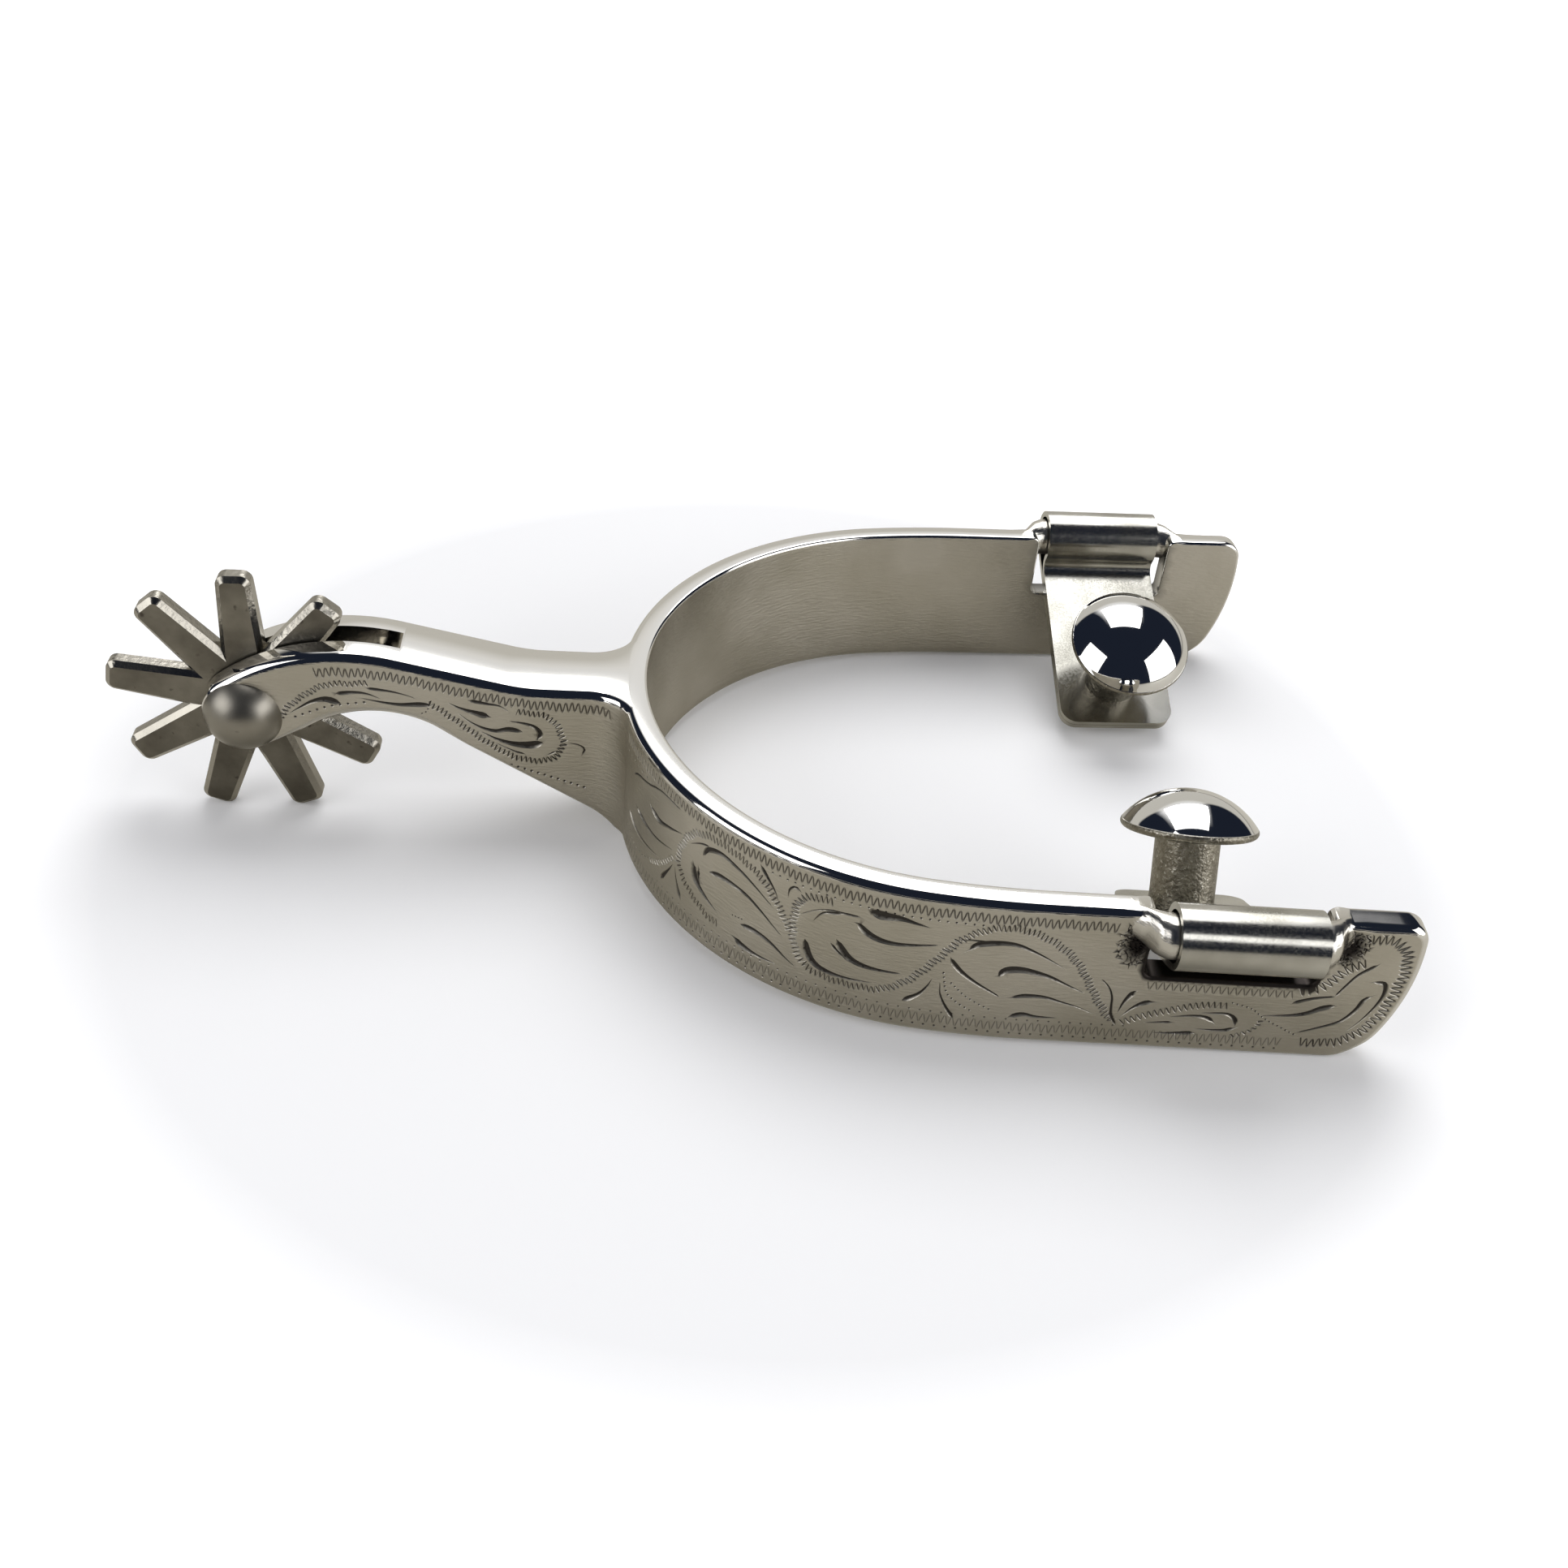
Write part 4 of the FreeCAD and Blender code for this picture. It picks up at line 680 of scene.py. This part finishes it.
def shank_outline():
    """Side view of the shank, anticlockwise from the top of its root, unrolled at the flare."""
    hump = (HUMP[1], HUMP[2] - HUMP[0])
    arch = (ARCH[1], ARCH[2] - ARCH[0])
    top, tip_r = HEIGHT - HAIR, HUMP[0] - math.dist(hump, PIN)
    fall, slope = 90 - SLOPE, math.radians(SLOPE)
    leave = offset(hump, HUMP[0], fall)
    rise = top + NECK - leave[1]
    neck = (leave[0] + (NECK - math.cos(slope) * rise) / math.sin(slope), top + NECK)
    cheek_turn = bearing(arch, PIN) - math.degrees(math.acos((ARCH[0] + tip_r) / math.dist(arch, PIN)))
    under = bearing(arch, FOOT) + math.degrees(math.acos(ARCH[0] / math.dist(arch, FOOT)))
    root = FLARE_X + FLARE * math.sin(FLARE_TURN)
    points = tidy_loop(
        straight((root, top), (FLARE_X, top), 0.08) + straight((FLARE_X, top), (neck[0], top), 0.6)
        + arc_points(neck, NECK, 270, fall + 180, 0.6)
        + straight(offset(neck, NECK, fall + 180), leave, 0.8)
        + arc_points(hump, HUMP[0], fall, bearing(hump, PIN), 0.6)
        + arc_points(PIN, tip_r, bearing(hump, PIN), cheek_turn + 180, 0.4)
        + straight(offset(PIN, tip_r, cheek_turn + 180), offset(arch, ARCH[0], cheek_turn), 0.6)
        + arc_points(arch, ARCH[0], cheek_turn, under, 0.6)
        + straight(offset(arch, ARCH[0], under), FOOT, 0.5) + straight(FOOT, (root, FOOT[1]), 0.08)
    )
    return np.stack([along_of(points[:, 0]), points[:, 1]], 1)


def make_shank():
    """The shank as one closed mesh: points, faces and values."""
    outline = shank_outline()
    count = len(outline)
    direction = inward(outline, (0, -1), (0, 1))
    upper = outline[:, 1] > 12
    low_tip = (outline[:, 0] < PIN[0] + 3) & ~upper
    round_off = np.where(low_tip, 0.8, np.where(upper, 1.05, 0.5))
    round_off = np.convolve(np.pad(round_off, 4, mode="edge"), np.ones(9) / 9, "valid")
    rows = rounded_rows(outline, direction, round_off, round_off)
    points, values = [], []
    for index, (row, depth, left) in enumerate(rows):
        x, y = cheek_point(row[:, 0], depth)
        points.append(np.stack([x, y if left else -y, row[:, 1]], 1))
        polish = 0.0 if index in (0, len(rows) - 1) else 1.0
        values.append(np.tile([polish, 0.0], (count, 1)))
    faces = stitch(len(rows), count, False)
    total = len(rows) * count
    row = rows[0][0]
    edge = closing_cut(row)
    e = engrave_cheek()
    flat, tris, on_rim = fill(np.vstack([row, edge]), e.points, e.edges, CHEEK_GRID)
    deep = np.where(on_rim, 0, e.depth_at(flat))
    x, y = cheek_point(flat[:, 0], deep)
    shade = np.stack([np.zeros(len(flat)), grime(deep)], 1)
    for sign in (1, -1):
        points.append(np.stack([x, y * sign, flat[:, 1]], 1))
        values.append(shade)
        faces += [[i + total for i in (t if sign > 0 else t[::-1])] for t in tris]
        total += len(flat)
    # the cap at the root, buried in the band's wall
    x, y = cheek_point(edge[:, 0], 0)
    cap = []
    for sign in (1, -1):
        points.append(np.stack([x, y * sign, edge[:, 1]], 1))
        values.append(np.zeros((len(edge), 2)))
        cap.append(list(range(total, total + len(edge))))
        total += len(edge)
    above = [r * count for r in range(len(rows))]
    below = [r * count + count - 1 for r in range(len(rows))]
    faces.append(above + cap[1][::-1] + below[::-1] + cap[0])
    return weld(np.vstack(points), faces, np.vstack(values))


def box_mesh(low, high):
    """Points and faces of a box between two corners."""
    x0, y0, z0 = low
    x1, y1, z1 = high
    points = [(x, y, z) for x in (x0, x1) for y in (y0, y1) for z in (z0, z1)]
    return points, [[0, 1, 3, 2], [4, 6, 7, 5], [0, 4, 5, 1], [2, 3, 7, 6], [0, 2, 6, 4], [1, 5, 7, 3]]


def rod_mesh(centre, radius, half, count=64):
    """A rod along y."""
    turn = np.linspace(0, 2 * math.pi, count, endpoint=False)
    x, z = centre[0] + radius * np.cos(turn), centre[1] + radius * np.sin(turn)
    ring = np.stack([x, np.zeros(count), z], 1)
    points = np.vstack([ring - [0, half, 0], ring + [0, half, 0]])
    faces = stitch(2, count, True) + [list(range(count))[::-1], list(range(count, 2 * count))]
    return points, faces


def outward(item):
    """Turns all faces of a closed mesh outwards."""
    work = bmesh.new()
    work.from_mesh(item.data)
    bmesh.ops.recalc_face_normals(work, faces=work.faces)
    work.to_mesh(item.data)
    work.free()
    return item


def combine(base, other, operation):
    """Adds a mesh to another one, or cuts it out, and removes it."""
    step = base.modifiers.new(operation, "BOOLEAN")
    step.object = other
    step.operation = operation
    step.solver = "MANIFOLD"
    bpy.context.view_layer.update()
    evaluated = base.evaluated_get(bpy.context.evaluated_depsgraph_get())
    result = bpy.data.meshes.new_from_object(evaluated)
    base.modifiers.clear()
    base.data = result
    bpy.data.objects.remove(other)


def set_values(item, tree, values):
    """Gives each vertex the values of the nearest source point."""
    found = np.array([tree.find(v.co)[1] for v in item.data.vertices])
    for name, column in (("polish", POLISH), ("dark", DARK)):
        layer = item.data.attributes.new(name, "FLOAT", "POINT")
        layer.data.foreach_set("value", values[found, column].astype(np.float32))


def smooth(item, angle=35):
    """Smooth shading, with edges sharper than an angle kept."""
    item.data.shade_smooth()
    item.data.set_sharp_from_angle(angle=math.radians(angle))


def make_spur_body():
    """Band, shank and hinge bars as one mesh, slotted and bored for the rowel."""
    sources, values = [], []

    def part(name, points, faces, shades):
        sources.append(np.asarray(points, float))
        values.append(np.broadcast_to(np.asarray(shades, float), (len(points), 2)))
        return outward(new_object(name, points, faces))

    body = part("engraved_spur_body", *make_band())
    combine(body, part("shank_shape", *make_shank()), "UNION")
    for sign in (1, -1):
        bar, sides = make_bar(sign)
        # painted shade: each bar is painted darker towards its underside
        under = np.clip((BAR_Z - 0.4 - bar[:, 2]) / 1.4, 0, 0.9)
        shades = np.stack([np.full(len(bar), 0.45), under], 1)
        combine(body, part("bar_shape", bar, sides, shades), "UNION")
    # painted shade: the slot's walls are painted black and the pin's hole nearly so
    slot = box_mesh((-110, -SLOT_HALF, -20), (SLOT_END, SLOT_HALF, 40))
    combine(body, part("slot_shape", *slot, (0.0, 1.0)), "DIFFERENCE")
    combine(body, part("hole_shape", *rod_mesh(PIN, HOLE_RADIUS, 12), (0.0, 0.93)), "DIFFERENCE")
    sources, values = np.vstack(sources), np.vstack(values)
    tree = KDTree(len(sources))
    for index, point in enumerate(sources * MM):
        tree.insert(point, index)
    tree.balance()
    set_values(body, tree, values)
    smooth(body)
    return body


# ---- materials


class Nodes:
    """A short way to write the nodes of a material or of the world."""

    def __init__(self, name, kind="materials"):
        self.owner = getattr(bpy.data, kind).new(name)
        self.owner.use_nodes = True
        self.tree = self.owner.node_tree
        self.shader = self.tree.nodes.get("Principled BSDF")

    def add(self, kind, inputs=None, **settings):
        node = self.tree.nodes.new(kind)
        for key, value in settings.items():
            setattr(node, key, value)
        for key, value in (inputs or {}).items():
            self.put(value, node.inputs[key])
        return node

    def put(self, value, socket):
        if hasattr(value, "is_output"):
            self.tree.links.new(value, socket)
        else:
            socket.default_value = value

    def calc(self, operation, a, b=0.0):
        return self.add("ShaderNodeMath", {0: a, 1: b}, operation=operation).outputs[0]

    def span(self, value, low, high, to_low, to_high):
        """Maps the values between two limits to two others, and holds them there."""
        return self.add("ShaderNodeMapRange", {0: value, 1: low, 2: high, 3: to_low, 4: to_high}).outputs[0]

    def noise(self, scale, detail=3.0, stretch=(1, 1, 1), rough=0.5):
        place = self.add("ShaderNodeTexCoord").outputs["Object"]
        spread = self.add("ShaderNodeMapping", {"Vector": place, "Scale": stretch}).outputs[0]
        inputs = {"Vector": spread, "Scale": scale, "Detail": detail, "Roughness": rough}
        return self.add("ShaderNodeTexNoise", inputs).outputs[0]

    def blend(self, share, a, b):
        node = self.add("ShaderNodeMix", {"Factor": share}, data_type="RGBA")
        self.put(a, node.inputs["A"])
        self.put(b, node.inputs["B"])
        return node.outputs["Result"]

    def named(self, name):
        return self.add("ShaderNodeAttribute", attribute_name=name).outputs["Fac"]

    def bump(self, height, strength, distance):
        node = self.add("ShaderNodeBump", {"Height": height, "Strength": strength, "Distance": distance})
        self.put(node.outputs[0], self.shader.inputs["Normal"])

    def finish(self, colour, roughness, metallic=1.0):
        self.put(colour, self.shader.inputs["Base Color"])
        self.put(roughness, self.shader.inputs["Roughness"])
        self.put(metallic, self.shader.inputs["Metallic"])
        return self.owner


def engraved_steel():
    """Satin walls, polished corners, grime in the cuts; the same dark colour also paints shade into the
    window's rims, the slot, the pin's hole and the bars' undersides.
    """
    m = Nodes("engraved_steel")
    polish, dark = m.named("polish"), m.named("dark")
    cloud, grain = m.noise(90, 3), m.noise(900, 2, (1, 1, 4))
    satin = m.span(cloud, 0.3, 0.7, 0.30, 0.42)
    rough = m.add("ShaderNodeMix", {"Factor": polish, "A": satin, "B": 0.07}).outputs["Result"]
    rough = m.calc("ADD", rough, m.calc("MULTIPLY", dark, 0.35))
    colour = m.blend(m.span(cloud, 0.35, 0.65, 0, 1), (0.50, 0.473, 0.41, 1), (0.60, 0.57, 0.51, 1))
    colour = m.blend(polish, colour, (0.78, 0.765, 0.735, 1))
    # dark: grime in the cuts, and painted shade in the recesses and under the bars
    colour = m.blend(dark, colour, (0.035, 0.03, 0.028, 1))
    m.bump(m.calc("MULTIPLY", grain, m.calc("SUBTRACT", 1.0, polish)), 0.2, 0.0004)
    return m.finish(colour, rough)


def tumbled_steel():
    """The rowel: darker, blotchy, with small pits."""
    m = Nodes("tumbled_steel")
    cloud, speck, grain = m.noise(160, 4), m.noise(700, 2), m.noise(1600, 3)
    colour = m.blend(m.span(cloud, 0.35, 0.7, 0, 1), (0.15, 0.138, 0.115, 1), (0.28, 0.262, 0.225, 1))
    colour = m.blend(m.span(speck, 0.66, 0.74, 0, 0.8), colour, (0.07, 0.06, 0.05, 1))
    facing = m.add("ShaderNodeSeparateXYZ", {0: m.add("ShaderNodeNewGeometry").outputs["Normal"]})
    worn = m.span(m.calc("ABSOLUTE", facing.outputs["Y"]), 0.97, 0.85, 0, 0.6)
    colour = m.blend(worn, colour, (0.50, 0.475, 0.42, 1))
    m.bump(grain, 0.25, 0.0002)
    rough = m.calc("SUBTRACT", m.span(cloud, 0.3, 0.7, 0.42, 0.30), m.calc("MULTIPLY", worn, 0.22))
    return m.finish(colour, rough)


def pin_steel():
    """The rivet: satin and slightly blotchy."""
    m = Nodes("pin_steel_look")
    cloud, grain = m.noise(140, 3), m.noise(1200, 3)
    colour = m.blend(m.span(cloud, 0.35, 0.7, 0, 0.5), (0.34, 0.32, 0.28, 1), (0.204, 0.192, 0.168, 1))
    m.bump(grain, 0.04, 0.0002)
    return m.finish(colour, m.span(cloud, 0.3, 0.7, 0.3, 0.42))


def rolled_steel():
    """The button plates: clouded, with a fine grain that spreads the highlights."""
    m = Nodes("plate_steel_look")
    cloud, grain = m.noise(110, 3), m.noise(4200, 2)
    colour = m.blend(m.span(cloud, 0.35, 0.68, 0, 1), (0.58, 0.57, 0.53, 1), (0.36, 0.35, 0.31, 1))
    rough = m.calc("ADD", m.span(grain, 0.35, 0.65, 0.10, 0.20), m.span(cloud, 0.35, 0.68, 0.03, 0.08))
    return m.finish(colour, rough)


def stud_steel():
    """Mirror-polished head, sand-cast neck and rim."""
    m = Nodes("stud_steel_look")
    polish = m.named("polish")
    grit, fleck = m.noise(1500, 4, (1, 1, 1), 0.6), m.noise(2600, 2)
    colour = m.blend(m.span(grit, 0.35, 0.65, 0, 1), (0.20, 0.183, 0.148, 1), (0.34, 0.315, 0.26, 1))
    # painted highlights: bright flecks in the sand-cast colour stand in for its sparkle
    colour = m.blend(m.span(fleck, 0.62, 0.70, 0, 0.6), colour, (0.75, 0.72, 0.64, 1))
    colour = m.blend(polish, colour, (0.80, 0.795, 0.78, 1))
    rough = m.add("ShaderNodeMix", {"Factor": polish, "A": 0.34, "B": 0.045}).outputs["Result"]
    height = m.calc("MULTIPLY", m.calc("ADD", grit, fleck), m.calc("SUBTRACT", 1.0, polish))
    m.bump(height, 0.45, 0.00025)
    return m.finish(colour, rough)


# ---- turned parts


def turned(name, profile, polish, matrix, count=96):
    """A turned solid round local y from (radius, height) points that start and end on the axis,
    each with its polish."""
    turn = np.linspace(0, 2 * math.pi, count, endpoint=False)
    middle = profile[1:-1]
    points = [np.array([[0, profile[0][1], 0]])]
    for r, h in middle:
        points.append(np.stack([r * np.cos(turn), np.full(count, h), r * np.sin(turn)], 1))
    points.append(np.array([[0, profile[-1][1], 0]]))
    points = np.vstack(points)
    last = len(points) - 1
    faces = [[v + 1 for v in face] for face in stitch(len(middle), count, True)]
    end_ring = 1 + (len(middle) - 1) * count
    for k in range(count):
        n = (k + 1) % count
        faces.append([0, 1 + n, 1 + k])
        faces.append([last, end_ring + k, end_ring + n])
    rotate = np.array(matrix)[:3, :3]
    item = outward(new_object(name, points @ rotate.T + np.array(matrix)[:3, 3], faces))
    shade = np.concatenate([[polish[0]], np.repeat(polish[1:-1], count), [polish[-1]]])
    layer = item.data.attributes.new("polish", "FLOAT", "POINT")
    layer.data.foreach_set("value", shade.astype(np.float32))
    smooth(item, 40)
    return item


BUTTON_ALONG = 20.2  # middle of a plate, along the arm
SWING = 63.5  # degrees from hanging to the rest angle
STUD_DROP = 21.7  # from the hinge's axis down the plate
STUD_SHIFT = {"left": 0.2, "right": -1.1}  # from the plate's middle
BARREL_RADIUS = 3.55
PLATE_HALF = 0.78  # half of the plate's thickness
PLATE_MIDDLE = PLATE_HALF - BARREL_RADIUS  # the plate runs off the back of its barrel
NECK_RADIUS = 3.7
HEAD_RADIUS = 7.8
HEAD_BASE = 9.6  # heights are from the plate's middle
HEAD_TOP = 14.45


def stud_matrix(side):
    """Where a stud stands, its y axis out of the plate."""
    sign = 1 if side == "left" else -1
    x = ARM_X + BUTTON_ALONG * math.cos(SPLAY) - BAR_OUT * math.sin(SPLAY)
    y = ARM_Y + BUTTON_ALONG * math.sin(SPLAY) + BAR_OUT * math.cos(SPLAY)
    turn = math.pi + SPLAY if side == "left" else -SPLAY
    return (Matrix.Translation((x, sign * y, BAR_Z)) @ Matrix.Rotation(turn, 4, "Z")
            @ Matrix.Rotation(math.radians(SWING), 4, "X")
            @ Matrix.Translation((STUD_SHIFT[side], PLATE_MIDDLE, -STUD_DROP)))


def stud_profile():
    """Radius and height of the stud, with its polish."""
    peen, rise, tail = 3.4, 0.8, 2.4
    ball = (peen**2 + rise**2) / (2 * rise)
    rows = [(0, -PLATE_HALF - rise, 0)]
    for r in (0.8, 1.6, 2.3, 2.9, 3.2):
        rows.append((r, -PLATE_HALF - rise + ball - math.sqrt(ball**2 - r**2), 0))
    rows += [(peen, -PLATE_HALF - 0.005, 0), (peen - 0.1, -PLATE_HALF, 0), (tail, -PLATE_HALF, 0)]
    rows += [(tail, PLATE_HALF + 0.005, 0), (NECK_RADIUS - 0.02, PLATE_HALF + 0.01, 0)]
    rows += [(NECK_RADIUS, h, 0) for h in (0.9, 4.5, HEAD_BASE - 0.7)]
    fillet, lip, dome_radius, dome_rise = 0.6, 0.58, HEAD_RADIUS - 0.15, 3.9
    for a in np.radians((15, 40, 65, 85)):
        rows.append((NECK_RADIUS + fillet * (1 - math.cos(a)), HEAD_BASE - fillet * (1 - math.sin(a)), 0))
    rows += [(5.2, HEAD_BASE, 0), (6.6, HEAD_BASE, 0)]
    for a in np.radians(range(-80, 31, 10)):
        rows.append((HEAD_RADIUS + lip * (math.cos(a) - 1), HEAD_BASE + lip * (1 + math.sin(a)), 0))
    ball = (dome_radius**2 + dome_rise**2) / (2 * dome_rise)
    for a in math.asin(dome_radius / ball) * np.linspace(1, 0, 26):
        rows.append((ball * math.sin(a), HEAD_TOP - ball + ball * math.cos(a), 1))
    rows[-1] = (0, HEAD_TOP, 1)
    return [(r, h) for r, h, _ in rows], np.array([p for *_, p in rows], float)


# ---- the object

body = make_spur_body()
body.data.materials.clear()
body.data.materials.append(engraved_steel())
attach(body, "spur")
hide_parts("spur_body")

stud_look = stud_steel()
profile, polish = stud_profile()
for side in ("left", "right"):
    stud = turned(f"{side}_strap_stud", profile, polish, stud_matrix(side))
    stud.data.materials.append(stud_look)
    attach(stud, f"{side}_button")
    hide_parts(f"{side}_button_stud")

plate_look = rolled_steel()
looks = {
    "rowel": (tumbled_steel(), "rowel_steel"),
    "rowel_pin": (pin_steel(), "pin_steel"),
    "left_button_plate": (plate_look, "plate_steel"),
    "right_button_plate": (plate_look, "plate_steel"),
}
for name, (material, slot_name) in looks.items():
    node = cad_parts[name]
    node.data.materials.clear()
    node.data.materials.append(material)

# ---- table, light and camera


def floor_material():
    """White table: shaded near the spur, with painted light further off, where an emission seen only by the
    camera washes it out; greyer in the steel's reflections.
    """
    m = Nodes("table_white")
    path = m.add("ShaderNodeLightPath")
    place = m.add("ShaderNodeTexCoord").outputs["Object"]
    far = m.add("ShaderNodeVectorMath", {0: place, 1: (-0.06, 0.0, 0.0)}, operation="DISTANCE")
    # painted light: the table glows for the camera, faintly near the spur and fully further off
    painted_glow = m.span(far.outputs["Value"], 0.08, 0.14, 0.05, 1)
    colour = m.blend(path.outputs["Is Glossy Ray"], (0.92, 0.92, 0.93, 1), (0.58, 0.55, 0.475, 1))
    m.put((1, 1, 1, 1), m.shader.inputs["Emission Color"])
    m.put(m.calc("MULTIPLY", painted_glow, path.outputs["Is Camera Ray"]), m.shader.inputs["Emission Strength"])
    return m.finish(colour, 0.8, 0.0)


LOW_TIPS = (-84.0, -1.95)  # x and z where the rowel touches the table
ARM_ENDS = (40.0, -0.05)  # and where the arms do
tilt = math.atan2(ARM_ENDS[1] - LOW_TIPS[1], ARM_ENDS[0] - LOW_TIPS[0])
bpy.ops.mesh.primitive_plane_add(size=6)
floor = bpy.context.object
floor.name = "table"
floor.rotation_euler = (0, -tilt, 0)
floor.location = (ARM_ENDS[0] * MM, 0, ARM_ENDS[1] * MM)
floor.data.materials.append(floor_material())


def soft_light(name, direction, distance, width, height, radiance):
    """A rectangular light panel that faces the spur and shines with a given radiance."""
    lamp = bpy.data.lights.new(name, "AREA")
    lamp.shape = "RECTANGLE"
    lamp.size, lamp.size_y = width, height
    lamp.energy = radiance * math.pi * width * height
    item = bpy.data.objects.new(name, lamp)
    toward = Vector(direction).normalized()
    item.location = Vector((0.0, 0.0, 0.01)) + toward * distance
    item.rotation_euler = (-toward).to_track_quat("-Z", "Y").to_euler()
    bpy.context.scene.collection.objects.link(item)
    return item


soft_light("panel_above", (0.055, 0.47, 0.86), 0.55, 0.42, 0.46, 3.2)
soft_light("panel_left", (-0.82, -0.35, 0.38), 0.5, 0.37, 0.29, 2.4)
soft_light("panel_right", (0.85, -0.40, 0.34), 0.5, 0.48, 0.34, 2.4)
# a window behind the viewer, which only the near plate is turned to mirror
seen = bpy.data.collections.new("mirrors_the_window")
seen.objects.link(bpy.data.objects["right_button_plate"])
front = soft_light("window_in_front", (0.33, -0.69, 0.60), 0.8, 0.34, 0.22, 2.2)
front.light_linking.receiver_collection = seen


def room():
    """What surrounds the table: white for the camera, a pale backdrop and a dark room in reflections."""
    m = Nodes("room", "worlds")
    path = m.add("ShaderNodeLightPath")
    way = m.add("ShaderNodeSeparateXYZ", {0: m.add("ShaderNodeTexCoord").outputs["Generated"]})
    x, y, z = way.outputs
    behind = m.span(y, 0.0, 0.4, 0, 1)
    aside = m.calc("MAXIMUM", m.calc("SUBTRACT", m.calc("ABSOLUTE", x), 0.3), 0.0)
    low = m.span(m.calc("ADD", z, m.calc("MULTIPLY", aside, 0.86)), 0.53, 0.59, 1, 0)
    glow = m.calc("MULTIPLY", m.span(z, 0.46, 0.60, 0, 1), m.span(m.calc("ABSOLUTE", x), 0.30, 0.42, 1, 0))
    glow = m.calc("MULTIPLY", glow, m.span(y, 0.2, 0.5, 0, 1))
    sheet = m.calc("MULTIPLY", behind, low)
    colour = m.blend(sheet, (0.012, 0.016, 0.028, 1), (0.60, 0.58, 0.53, 1))
    colour = m.blend(glow, colour, (1.1, 1.1, 1.1, 1))
    colour = m.blend(path.outputs["Is Diffuse Ray"], colour, (0.26, 0.262, 0.275, 1))
    colour = m.blend(path.outputs["Is Camera Ray"], colour, (1, 1, 1, 1))
    m.tree.links.new(colour, m.tree.nodes["Background"].inputs["Color"])
    return m.owner


bpy.context.scene.world = room()

TARGET = Vector((-0.019278, -0.001928, 0.004855))  # the camera looks at this place
DISTANCE = 0.21593
AZIMUTH, ELEVATION, ROLL = (math.radians(a) for a in (-5.668, 36.752, 5.521))

camera_data = bpy.data.cameras.new("camera")
camera_data.lens = 40.3
camera_data.sensor_width = 36
camera = bpy.data.objects.new("camera", camera_data)
bpy.context.scene.collection.objects.link(camera)
bpy.context.scene.camera = camera
back = Vector((math.sin(AZIMUTH) * math.cos(ELEVATION), -math.cos(AZIMUTH) * math.cos(ELEVATION),
               math.sin(ELEVATION)))
level = Vector((math.cos(AZIMUTH), math.sin(AZIMUTH), 0))
upright = back.cross(level)
right = level * math.cos(ROLL) + upright * math.sin(ROLL)
up = upright * math.cos(ROLL) - level * math.sin(ROLL)
turned_axes = Matrix((right, up, back)).transposed().to_4x4()
camera.matrix_world = Matrix.Translation(TARGET + back * DISTANCE) @ turned_axes

bpy.context.scene.view_settings.view_transform = "Standard"
bpy.context.scene.view_settings.look = "None"
